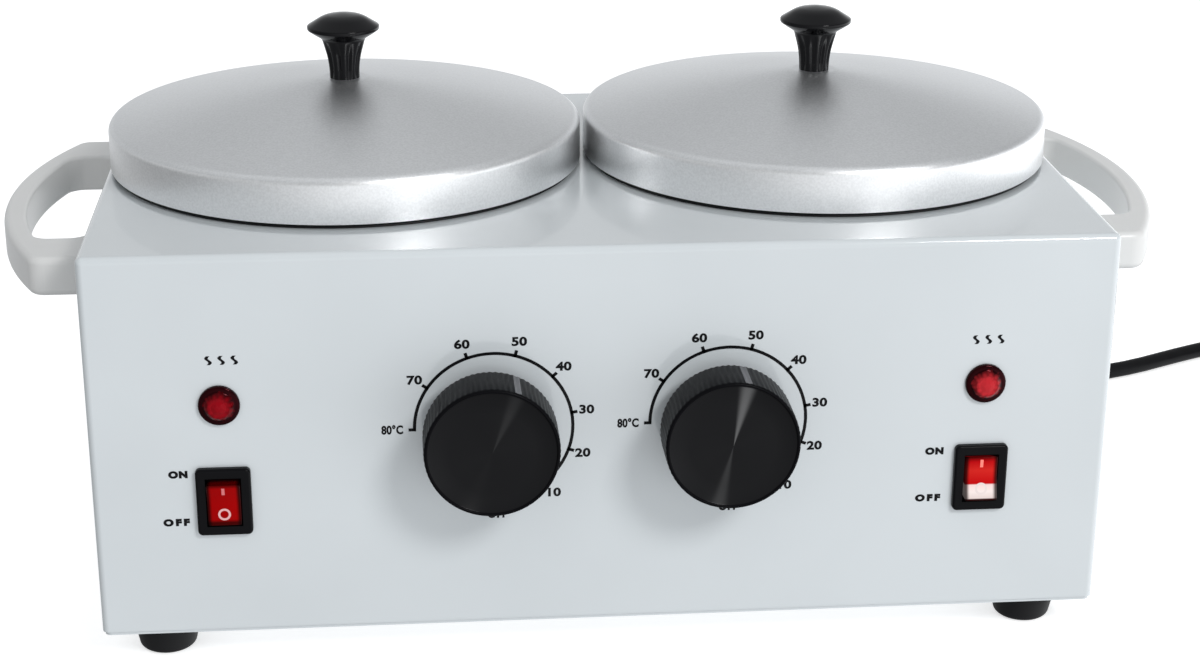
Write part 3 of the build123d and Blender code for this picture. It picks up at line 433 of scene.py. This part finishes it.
def rounded(corners, steps=8):
    """A profile with its corners rounded, from corners of radius, height and rounding."""
    profile = []
    for before, corner, after in zip([corners[0], *corners], corners, [*corners[1:], corners[-1]]):
        here = Vector(corner[:2])
        back = Vector(before[:2]) - here
        ahead = Vector(after[:2]) - here
        if corner[2] == 0 or back.length == 0 or ahead.length == 0:
            profile.append(here)
            continue
        half = back.angle(ahead) / 2
        run = corner[2] / math.tan(half)
        inward = (back.normalized() + ahead.normalized()).normalized()
        centre = here + inward * corner[2] / math.sin(half)
        first = here + back.normalized() * run - centre
        last = here + ahead.normalized() * run - centre
        whole = first.angle_signed(last)
        for step in range(steps + 1):
            profile.append(centre + Matrix.Rotation(-whole * step / steps, 2) @ first)
    return profile


def ring_of(form, radius, height, around, shift=0.0, ribs=0, rib_depth=0.0):
    """A ring of points about an upright axis, with ribs pressed into it if there are any."""
    points = []
    for k in range(around):
        angle = 2 * math.pi * (k + shift) / around
        reach = (radius - rib_depth * (0.5 - 0.5 * math.cos(ribs * angle))) * MM
        spot = (reach * math.cos(angle), reach * math.sin(angle), height * MM)
        points.append(form.verts.new(spot))
    return points


def band(form, low, high):
    """The faces between two rings of as many points."""
    pairs = zip(low, [*low[1:], low[0]], [*high[1:], high[0]], high)
    return [form.faces.new(corners) for corners in pairs]


def spun(name, x, profile, around=160):
    """A turned piece over a well: a profile of radius and height swept about its axis."""
    form = bmesh.new()
    loops = []
    for radius, height in profile:
        if radius < 0.01:
            loops.append([form.verts.new((0, 0, height * MM))])
        else:
            loops.append(ring_of(form, radius, height, around))
    for low, high in zip(loops, loops[1:]):
        if len(low) == len(high) == around:
            band(form, low, high)
            continue
        for k in range(around):
            n = (k + 1) % around
            if len(low) == around:
                form.faces.new((low[k], low[n], high[0]))
            elif len(high) == around:
                form.faces.new((low[0], high[n], high[k]))
    return placed(name, mesh_of(form, name, 40), x, well_y)


drawn_aluminium = spun_metal(
    "drawn_aluminium", (0.80, 0.81, 0.82), rough=0.30, line_depth=0.01, grain_depth=0.004, grain=2200
)
# A black ring under the skirt of each lid: a dark piece put there as painted shade in the gap.
gap_shade_black = moulded(
    "gap_shade_black", rubber_black, mottle=0.2, rough=0.5, grain=1200, depth=0.03, polish=0.2
)
gap_shade_profile = [
    (70.3, 129.05), (73.0, 129.05), (73.2, 129.3), (73.0, 129.8), (70.5, 129.9), (70.3, 129.05),
]
for side, x in well_places.items():
    finished(drawn_aluminium, side + "_heating_well", side + "_wax_pot")
    gap_shade_ring = spun(side + "_seal", x, gap_shade_profile)
    gap_shade_ring.data.materials.append(gap_shade_black)
    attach(gap_shade_ring, "housing")
finished(zinc, "well_brackets")

# Lids: aluminium discs spun over a former, with a straight skirt, a soft bend and a low
# crown that rises to a flat pad. The crown has a fine satin blast; the skirt's faces take a
# paler, slightly glossier aluminium.
lid_radius, lid_bottom, lid_ring, lid_top = 74.3, 130.4, 143.9, 156.0
lid_sheet = 1.0
lid_bend, crown_round = 2.8, 500.0
screw_hole = 2.2
lip_radius, lip_height = lid_radius - 0.75, lid_bottom + 0.05
satin_aluminium = spun_metal(
    "satin_aluminium", (0.83, 0.84, 0.85), rough=0.38, line_depth=0.006, grain_depth=0.03, grain=1500
)
paler_skirt = spun_metal(
    "paler_skirt", (0.90, 0.905, 0.91), rough=0.34, line_depth=0.006, grain_depth=0.03, grain=1500
)
crown = [
    (lip_radius, lip_height, 0.25), (lid_radius, lid_bottom, 0.2), (lid_radius, lid_ring, lid_bend),
    (40.65, lid_ring + 6.9, crown_round), (7.0, lid_top, 7.0), (screw_hole, lid_top, 0),
]
under = [
    (screw_hole, lid_top - lid_sheet, 0), (6.9, lid_top - lid_sheet, 6.0),
    (40.5, lid_ring + 5.85, crown_round), (lid_radius - lid_sheet, lid_ring - 0.9, 0.9),
    (lid_radius - lid_sheet, lid_bottom + 0.3, 0.2), (lip_radius, lip_height, 0),
]
skirt_slope, skirt_reach = 0.45, (lid_radius - 0.5) * MM
for side, x in well_places.items():
    lid = spun(side + "_lid_spinning", x, rounded(crown) + rounded(under), 224)
    lid.data.materials.append(satin_aluminium)
    lid.data.materials.append(paler_skirt)
    for face in lid.data.polygons:
        upright = abs(face.normal.z) < skirt_slope
        face.material_index = int(upright and face.center.xy.length > skirt_reach)
    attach(lid, side + "_cover")
    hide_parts(side + "_lid")

# Lid knobs: black phenolic mushrooms with a fluted stem, moulded and polished, screwed on
# from under the lid with a washer.
knob_black = moulded(
    "knob_black", deep_black, mottle=0.15, rough=0.11, grain=700, depth=0.006, polish=0.2
)
knob_profile = [
    (0, 0, 0), (4.7, 0, 0), (5.0, 5.5, 30), (6.9, 12.6, 2.0), (9.6, 14.3, 4.0), (11.3, 15.5, 0.5),
    (11.3, 16.5, 0.5), (6.2, 19.7, 9.0), (0, 20.5, 0),
]
flutes, flute_depth = 10, 0.13
flute_foot, flute_head = 0.8, 12.0
foot_fade, head_fade = 1.2, 1.5
for side, x in well_places.items():
    profile = [(radius, lid_top + height) for radius, height in rounded(knob_profile, 10)]
    knob = spun(side + "_knob_moulding", x, profile, 120)
    for vertex in knob.data.vertices:
        height = vertex.co.z / MM - lid_top
        if flute_foot < height < flute_head:
            fade = min((height - flute_foot) / foot_fade, (flute_head - height) / head_fade, 1)
            angle = math.atan2(vertex.co.y, vertex.co.x)
            hollow = 1 - flute_depth * fade * (0.5 + 0.5 * math.cos(flutes * angle)) ** 2
            vertex.co.x *= hollow
            vertex.co.y *= hollow
    knob.data.materials.append(knob_black)
    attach(knob, side + "_cover")
    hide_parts(side + "_lid_knob")
    finished(zinc, side + "_lid_screw", side + "_lid_washer")

# Dial knobs: hollow black mouldings pushed on the thermostat shafts. The side is finely
# ribbed for grip with a grey index mark, set where the light's highlight falls on the ribs,
# so partly a painted highlight. The face is turned flat inside a thin rim and carries a
# painted highlight in two wedges.
dial_places = {"left": -34.5, "right": 34.5}
dial_z, dial_back = 74.5, -83.0
dial_ribs, dial_rib_depth, points_per_rib = 72, 0.18, 6
dial_hollow = 11.0
# Each ring of the moulding: its radius, its height over the back and its share of the ribs.
dial_rings = [
    (17.6, 0.0, 0), (19.4, 0.0, 1), (19.6, 0.25, 1), (19.6, 13.2, 1), (19.55, 13.6, 0.5),
    (19.4, 14.15, 0), (19.1, 14.45, 0), (18.75, 14.5, 0), (18.55, 14.4, 0), (18.45, 14.1, 0),
    (18.3, 14.0, 0), (12.0, 14.0, 0), (6.0, 14.0, 0), (2.0, 14.0, 0),
]
side_bands, first_face_band = (2, 3), 9
# Where each grey index mark stands: the angle at which the light's highlight falls on the ribs, so
# the mark is partly a painted highlight. The face's painted wedges point the same way.
index_and_highlight_angles = {"left": 67.0, "right": 78.0}
index_and_highlight_half_width = 3.2
# How much each face is painted paler, as a painted highlight, in the wedge towards the light and in
# the one away from it.
dial_painted_sheens = {"left": (0.014, 0.0), "right": (0.11, 0.025)}
dial_side = moulded(
    "dial_side", deep_black, mottle=0.2, rough=0.34, grain=1200, depth=0.02, polish=0.05
)
index_and_highlight_grey = moulded(
    "index_and_highlight_grey", (0.15, 0.15, 0.16), mottle=0.05, rough=0.4, grain=1200, depth=0.01, polish=0.2
)


def turned_face(name, lean, painted_sheen, far_painted_sheen, wedge_width=0.19):
    """Black plastic turned flat, with a painted highlight: two facing wedges made paler in its
    colour, about a fixed direction.
    """
    made = spun_metal(
        name, (0.004, 0.004, 0.005), rough=0.3, line_depth=0.03, grain_depth=0.003, grain=2500
    )
    tree = made.node_tree
    skin = tree.nodes["Principled BSDF"]
    skin.inputs["Metallic"].default_value = 0.0
    skin.inputs["Anisotropic"].default_value = 0.9
    skin.inputs["Specular IOR Level"].default_value = 0.16
    light = (math.cos(lean), 0, math.sin(lean))
    along = tree.nodes["Tangent"].outputs["Tangent"]
    normal = tree.nodes.new("ShaderNodeNewGeometry").outputs["Normal"]
    outward = worked_out(tree, "VectorMath", "CROSS_PRODUCT", along, normal)
    towards = worked_out(tree, "VectorMath", "DOT_PRODUCT", outward, light)
    near = ranged(tree, towards, -1, 1, far_painted_sheen, painted_sheen)
    across = worked_out(tree, "VectorMath", "DOT_PRODUCT", along, light)
    apart = worked_out(tree, "Math", "ABSOLUTE", across)
    wedge = ranged(tree, apart, 0, wedge_width, 1.0, 0.0, "SMOOTHERSTEP")
    black = skin.inputs["Base Color"].links[0].from_socket
    painted_highlight = worked_out(tree, "VectorMath", "MULTIPLY_ADD", near, wedge, black)
    tree.links.new(painted_highlight, skin.inputs["Base Color"])
    return made


for side, x in dial_places.items():
    form = bmesh.new()
    around = dial_ribs * points_per_rib
    loops = [
        ring_of(form, radius, depth, around, 0, dial_ribs, ribbing * dial_rib_depth)
        for radius, depth, ribbing in dial_rings
    ]
    for number, (low, high) in enumerate(zip(loops, loops[1:])):
        for k, face in enumerate(band(form, low, high)):
            off_highlight_mark = abs(360 * (k + 0.5) / around - index_and_highlight_angles[side])
            if number >= first_face_band:
                face.material_index = 1
            elif number in side_bands and off_highlight_mark < index_and_highlight_half_width:
                face.material_index = 2
    form.faces.new(loops[-1]).material_index = 1
    inside = [form.verts.new((v.co.x, v.co.y, dial_hollow * MM)) for v in loops[0]]
    band(form, inside, loops[0])
    form.faces.new(inside)
    mesh = mesh_of(form, side + "_dial_moulding", 50)
    mesh.materials.append(dial_side)
    lean = math.radians(index_and_highlight_angles[side])
    mesh.materials.append(turned_face(side + "_dial_face", lean, *dial_painted_sheens[side]))
    mesh.materials.append(index_and_highlight_grey)
    dial = placed(side + "_dial_moulding", mesh, x, dial_back, dial_z, facing_front)
    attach(dial, side + "_dial")
    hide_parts(side + "_dial_knob")
    finished(zinc, side + "_thermostat_shaft")

# Switches: black bezels with red translucent rockers. The left one stands at OFF, the right
# one at ON with its neon lit and a painted reflection of a window on its lower half. I and O
# are printed.
control_z = 54.0
pivot_y = -78.0
rocker_tilts = {"left": math.radians(-8), "right": math.radians(8)}
rocker_width, rocker_height, crest = 9.8, 13.8, 1.9
horn = crest + rocker_height / 2 * math.tan(rocker_tilts["right"])
rocker_sag, rocker_root, root_share = 0.12, -3.0, 0.4
rocker_edge = 0.45
# Painted shade across each key: full colour within the lit half width, falling to this share at the
# dark half width.
lit_half_width, dark_half_width, edge_light = 3.3, 4.5, 0.08
rocker_outline = [
    (0, crest), (rocker_height / 4, (crest + horn) / 2 - rocker_sag), (rocker_height / 2, horn),
    (root_share * rocker_height, rocker_root), (-root_share * rocker_height, rocker_root),
    (-rocker_height / 2, horn), (-rocker_height / 4, (crest + horn) / 2 - rocker_sag),
]
bezel_black = moulded(
    "bezel_black", deep_black, mottle=0.1, rough=0.25, grain=900, depth=0.01, polish=0.1
)


def translucent_key(name, x, shaded_stripe, glow):
    """Red see-through plastic lit by the neon. Painted shade darkens its sides and, by the
    stripes, its ends where it goes into the bezel; the glow can hold a painted reflection.
    """
    red = (0.33, 0.0015, 0.002)
    made = moulded(name, red, mottle=0.2, rough=0.12, grain=900, depth=0.005, polish=0.16)
    tree = made.node_tree
    skin = tree.nodes["Principled BSDF"]
    skin.inputs["Specular Tint"].default_value = (1.0, 0.2, 0.2, 1)
    apart = tree.nodes.new("ShaderNodeSeparateXYZ")
    tree.links.new(tree.nodes.new("ShaderNodeTexCoord").outputs["Object"], apart.inputs["Vector"])
    off = worked_out(tree, "Math", "SUBTRACT", apart.outputs["X"], x * MM)
    aside = worked_out(tree, "Math", "ABSOLUTE", off)
    inner, outer = lit_half_width * MM, dark_half_width * MM
    side_shade = ranged(tree, aside, inner, outer, 1.0, edge_light, "SMOOTHSTEP")
    foot, head = [(control_z + end * rocker_height / 2) * MM for end in (-1, 1)]
    up = ranged(tree, apart.outputs["Z"], foot, head, 0, 1)
    for colours, socket in ((shaded_stripe, "Base Color"), (glow, "Emission Color")):
        dimmed = worked_out(tree, "VectorMath", "MULTIPLY", graded(tree, up, colours), side_shade)
        tree.links.new(dimmed, skin.inputs[socket])
    skin.inputs["Emission Strength"].default_value = 1.0
    return made


unlit = (0, 0, 0)
key_shaded_red, key_red, key_black_under_reflection = (0.05, 0, 0), (0.36, 0.0005, 0.001), (0.01, 0, 0)
# The colours of each key, from the foot of the key to its head, with painted shade at its
# ends and black under the painted reflection, and of the light in it: on the right a painted
# reflection of a window low down and the neon's glow above it, on the left a faint painted
# glow though its neon is off.
key_shaded_stripes = {
    "left": [
        (0, key_shaded_red), (0.06, key_shaded_red), (0.13, key_red), (0.88, key_red), (0.97, key_shaded_red),
        (1, key_shaded_red),
    ],
    "right": [(0, key_black_under_reflection), (0.38, key_black_under_reflection), (0.4, key_red), (0.9, key_red), (1, key_shaded_red)],
}
key_glow_and_painted_reflection = {
    "left": [(0, unlit), (0.5, (0.02, 0, 0)), (1, unlit)],
    "right": [
        (0, unlit), (0.075, (0.01, 0, 0)), (0.095, (0.80, 0.70, 0.67)), (0.23, (0.95, 0.86, 0.83)),
        (0.375, (0.96, 0.74, 0.72)), (0.4, (0.20, 0.001, 0.003)), (0.7, (0.32, 0.02, 0.015)),
        (0.9, (0.16, 0.002, 0.004)), (1, (0.03, 0, 0)),
    ],
}
key_marks = {
    "left": ((0.75, 0.20, 0.21), (0.82, 0.45, 0.45)),
    "right": ((0.98, 0.22, 0.18), (0.70, 0.61, 0.59)),
}
# The marks glow as painted light, faintly on the left and more on the right, where the O is also
# tinted like the painted reflection over it.
mark_painted_glow = {"left": 0.05, "right": 0.25}
mark_lift = 0.05
bar_foot, bar_head, bar_half_width = 3.5, 5.9, 0.45
ring_centre, ring_inner, ring_outer, ring_parts = -3.2, 1.2, 1.85, 32
for side, x in control_places.items():
    finished(bezel_black, side + "_switch_body")
    lean = Matrix.Rotation(-rocker_tilts[side], 3, "X")
    middle = Vector((x, pivot_y, control_z))

    def on_key(across, up, out):
        """A point of the key, from its pivot, turned to where the key stands."""
        return (middle + lean @ Vector((across, -out, up))) * MM

    form = bmesh.new()
    left_wall, right_wall = [
        [form.verts.new(on_key(end * rocker_width / 2, up, out)) for up, out in rocker_outline]
        for end in (-1, 1)
    ]
    form.faces.new(left_wall)
    form.faces.new(right_wall[::-1])
    band(form, right_wall, left_wall)
    bmesh.ops.recalc_face_normals(form, faces=form.faces)
    sharp = [edge for edge in form.edges if edge.calc_face_angle(0) > math.radians(30)]
    bmesh.ops.bevel(
        form, geom=sharp, offset=rocker_edge * MM, segments=4, profile=0.5, affect="EDGES",
        clamp_overlap=True,
    )
    mesh = mesh_of(form, side + "_key", 35)
    mesh.materials.append(
        translucent_key(side + "_key_red", x, key_shaded_stripes[side], key_glow_and_painted_reflection[side])
    )
    key = placed(side + "_key", mesh)
    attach(key, side + "_key")
    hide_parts(side + "_rocker")

    def on_face(across, up):
        """A point just over the key's face, on whichever half of it the height is."""
        share = abs(up) / (rocker_height / 2)
        return on_key(across, up, crest + (horn - crest) * share + mark_lift)

    mesh = bpy.data.meshes.new(side + "_key_marks")
    form = bmesh.new()
    bar = [(-1, bar_foot), (1, bar_foot), (1, bar_head), (-1, bar_head)]
    form.faces.new([form.verts.new(on_face(end * bar_half_width, up)) for end, up in bar])
    for step in range(ring_parts):
        start, end = [2 * math.pi * (step + k) / ring_parts for k in (0, 1)]
        form.faces.new([
            form.verts.new(on_face(r * math.cos(a), ring_centre + r * math.sin(a)))
            for r, a in (
                (ring_inner, start), (ring_outer, start), (ring_outer, end), (ring_inner, end),
            )
        ]).material_index = 1
    form.to_mesh(mesh)
    form.free()
    for mark, shade in zip(("bar", "ring"), key_marks[side]):
        paint = moulded(
            f"{side}_key_{mark}", shade, mottle=0.02, rough=0.4, grain=1500, depth=0.004, polish=0.15
        )
        paint_skin = paint.node_tree.nodes["Principled BSDF"]
        paint_skin.inputs["Emission Color"].default_value = (*shade, 1)
        paint_skin.inputs["Emission Strength"].default_value = mark_painted_glow[side]
        mesh.materials.append(paint)
    marks = placed(side + "_key_marks", mesh)
    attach(marks, side + "_key")
finished(plated("tinned_brass", (0.80, 0.78, 0.72), rough=0.3, streak=900), "switch_terminals")

# Pilot lamps: red lenses pushed into the panel, with a dark rim and a faceted middle that
# scatters the neon behind, lit on the right. Push-on rings hold the white bodies inside.
lamp_z = 84.0
lens_reds = {"left": (0.27, 0.003, 0.008), "right": (0.42, 0.012, 0.018)}
# Each lens's glow: the neon's on the right, and on the left, whose neon is off, a faint painted glow.
lens_glow = {"left": (0.01, 0, 0), "right": (0.12, 0.012, 0.014)}
# The rings of the lens by radius and height, then its facets, with the number of points on
# each ring and how far the ring is turned.
lens_rings = [
    (6.0, 0.0), (6.0, 0.9), (5.85, 1.2), (5.55, 1.35), (4.9, 1.5), (4.2, 1.6), (4.0, 2.2),
]
lens_facets = [(3.3, 2.9, 12, 0), (2.2, 2.9, 12, 0.5), (1.1, 3.4, 6, 0)]
lens_tip = 3.5
lens_reach, dark_until, bright_from = 5.6, 0.12, 0.55
lens_cells, cell_reach, cell_inward, cell_outward = 900, 0.8, -0.5, 0.7


def lens_plastic(name, deep, bright, glow):
    """Clear red plastic: near black at the rim, brighter in small cells towards the middle."""
    made = moulded(name, bright, mottle=0.1, rough=0.08, grain=500, depth=0.004, polish=0.2)
    tree = made.node_tree
    skin = tree.nodes["Principled BSDF"]
    skin.inputs["Specular Tint"].default_value = (1.0, 0.25, 0.3, 1)
    place = tree.nodes.new("ShaderNodeTexCoord").outputs["Object"]
    flat = worked_out(tree, "VectorMath", "MULTIPLY", place, (1, 1, 0))
    reach = worked_out(tree, "VectorMath", "LENGTH", flat)
    cells = tree.nodes.new("ShaderNodeTexVoronoi")
    cells.inputs["Scale"].default_value = lens_cells
    tree.links.new(flat, cells.inputs["Vector"])
    distance = cells.outputs["Distance"]
    uneven = ranged(tree, distance, 0, cell_reach, cell_inward * MM, cell_outward * MM)
    rim = worked_out(tree, "Math", "ADD", reach, uneven)
    inward = ranged(tree, rim, lens_reach * MM, 0.0, 0, 1)
    for low, high, socket in ((deep, bright, "Base Color"), (unlit, glow, "Emission Color")):
        shade = graded(tree, inward, [(dark_until, low), (bright_from, high)])
        tree.links.new(shade, skin.inputs[socket])
    skin.inputs["Emission Strength"].default_value = 1.0
    return made


for side, x in control_places.items():
    form = bmesh.new()
    loops = [ring_of(form, radius, depth, 48) for radius, depth in lens_rings]
    for low, high in zip(loops, loops[1:]):
        for face in band(form, low, high):
            face.smooth = True
    inner = loops[-1]
    for radius, depth, count, shift in lens_facets:
        ring = ring_of(form, radius, depth, count, shift)
        ratio = len(inner) // count
        for k in range(count):
            after = ring[(k + 1) % count]
            if ratio > 1:
                group = [inner[(k * ratio + j) % len(inner)] for j in range(ratio + 1)]
                for a, b in zip(group, group[1:]):
                    form.faces.new((a, b, ring[k] if b != group[-1] else after))
                form.faces.new((ring[k], group[-2], after))
            else:
                form.faces.new((inner[k], inner[(k + 1) % count], ring[k]))
                form.faces.new((ring[k], inner[(k + 1) % count], after))
        inner = ring
    tip = form.verts.new((0, 0, lens_tip * MM))
    for k in range(len(inner)):
        form.faces.new((inner[k], inner[(k + 1) % len(inner)], tip))
    mesh = mesh_of(form, side + "_lens")
    mesh.materials.append(
        lens_plastic(side + "_lens_red", (0.008, 0, 0.0005), lens_reds[side], lens_glow[side])
    )
    lens = placed(side + "_lens", mesh, x, panel_y, lamp_z, facing_front)
    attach(lens, "housing")
    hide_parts(side + "_lamp_lens")
    finished(handle_plastic, side + "_lamp_body")
finished(zinc, "lamp_rings")

# Heaters and their blankets: mica bands in a steel jacket bolted round the wells, under
# 3 mm of white fibre.
jacket_steel = plated("jacket_steel", (0.55, 0.55, 0.54), rough=0.4, streak=300)
fibre = moulded("fibre", (0.78, 0.76, 0.70), mottle=0.06, rough=0.9, grain=1500, depth=0.4)
finished(jacket_steel, "left_band_heater", "right_band_heater")
finished(fibre, "left_insulation", "right_insulation")
finished(zinc, "clamp_bolts", "clamp_nuts")

# Thermostats, their copper bulbs and the cutouts: black phenolic bodies behind the panel,
# bulbs strapped under the wells and a round cutout on the floor of each well.
brown_black = (0.045, 0.040, 0.036)
phenolic = moulded("phenolic", brown_black, mottle=0.2, rough=0.5, grain=900, depth=0.03)
copper = plated("copper", (0.80, 0.46, 0.33), rough=0.3, streak=600)
for side in ("left", "right"):
    finished(phenolic, side + "_thermostat", side + "_thermal_cutout")
    finished(copper, side + "_thermostat_bulb")
finished(zinc, "bulb_straps", "thermostat_screws")

# Terminal block: a bar of white nylon, moulded with a row of bores for the cord's cores,
# that stands on the base plate where the cord comes in.
nylon = moulded("nylon", (0.80, 0.79, 0.74), mottle=0.03, rough=0.5, grain=900, depth=0.03)
finished(nylon, "terminal_block")

# Table: a plain pale sweep under the warmer. It glows a little and lights nothing else, so
# that it is seen as white and the warmer is lit from the room alone.
table_left, table_right, table_front, table_rear = -3, 3, -1.5, 5
table_mesh = bpy.data.meshes.new("table")
form = bmesh.new()
form.faces.new([
    form.verts.new((x, y, 0))
    for x, y in (
        (table_left, table_front), (table_right, table_front),
        (table_right, table_rear), (table_left, table_rear),
    )
])
form.to_mesh(table_mesh)
form.free()
table_white = (0.85, 0.85, 0.85)
table_top = moulded(
    "table_top", table_white, mottle=0.01, rough=0.6, grain=200, depth=0.02, polish=0.1
)
table_skin = table_top.node_tree.nodes["Principled BSDF"]
table_skin.inputs["Emission Color"].default_value = (1, 1, 1, 1)
table_skin.inputs["Emission Strength"].default_value = 0.62
table_mesh.materials.append(table_top)
table = placed("table", table_mesh)
table.visible_diffuse = False
table.visible_glossy = False

# Studio light: a soft light high on the right in front, in a white room that is brighter
# low down and to the right and darker overhead.
wall_light = [
    (0, 0.35), (0.25, 0.66), (0.4, 0.88), (0.5, 0.84), (0.6, 0.69), (0.75, 0.46), (1, 0.74),
]
left_light, right_light = -0.64, 1.06
level_share, overhead_share, overhead_rise = 1.0, -0.12, 0.35
room = bpy.data.worlds.new("room")
room.use_nodes = True
tree = room.node_tree
sky = tree.nodes["Background"]
apart = tree.nodes.new("ShaderNodeSeparateXYZ")
tree.links.new(tree.nodes.new("ShaderNodeTexCoord").outputs["Generated"], apart.inputs["Vector"])
height = ranged(tree, apart.outputs["Z"], -1, 1, 0, 1)
walls = graded(tree, height, [(level, (light, light, light)) for level, light in wall_light])
across = ranged(tree, apart.outputs["X"], -1, 1, left_light, right_light)
overhead = ranged(tree, apart.outputs["Z"], 0, overhead_rise, level_share, overhead_share)
sideways = worked_out(tree, "Math", "MULTIPLY_ADD", across, overhead, 1.0)
strength = worked_out(tree, "Math", "MULTIPLY", walls, sideways)
tree.links.new(strength, sky.inputs["Strength"])
sky.inputs["Color"].default_value = (0.96, 0.98, 1.0, 1)
bpy.context.scene.world = room
bpy.context.scene.view_settings.view_transform = "Standard"

softbox_place, softbox_aim = Vector((0.70, -1.2, 1.1)), Vector((0, 0, 0.08))
softbox = bpy.data.lights.new("key_light", "AREA")
softbox.shape = "RECTANGLE"
softbox.size = 0.45
softbox.size_y = 0.4
softbox.energy = 11
key_light = bpy.data.objects.new("key_light", softbox)
key_light.location = softbox_place
key_light.rotation_euler = (softbox_aim - softbox_place).to_track_quat("-Z", "Y").to_euler()
bpy.context.scene.collection.objects.link(key_light)
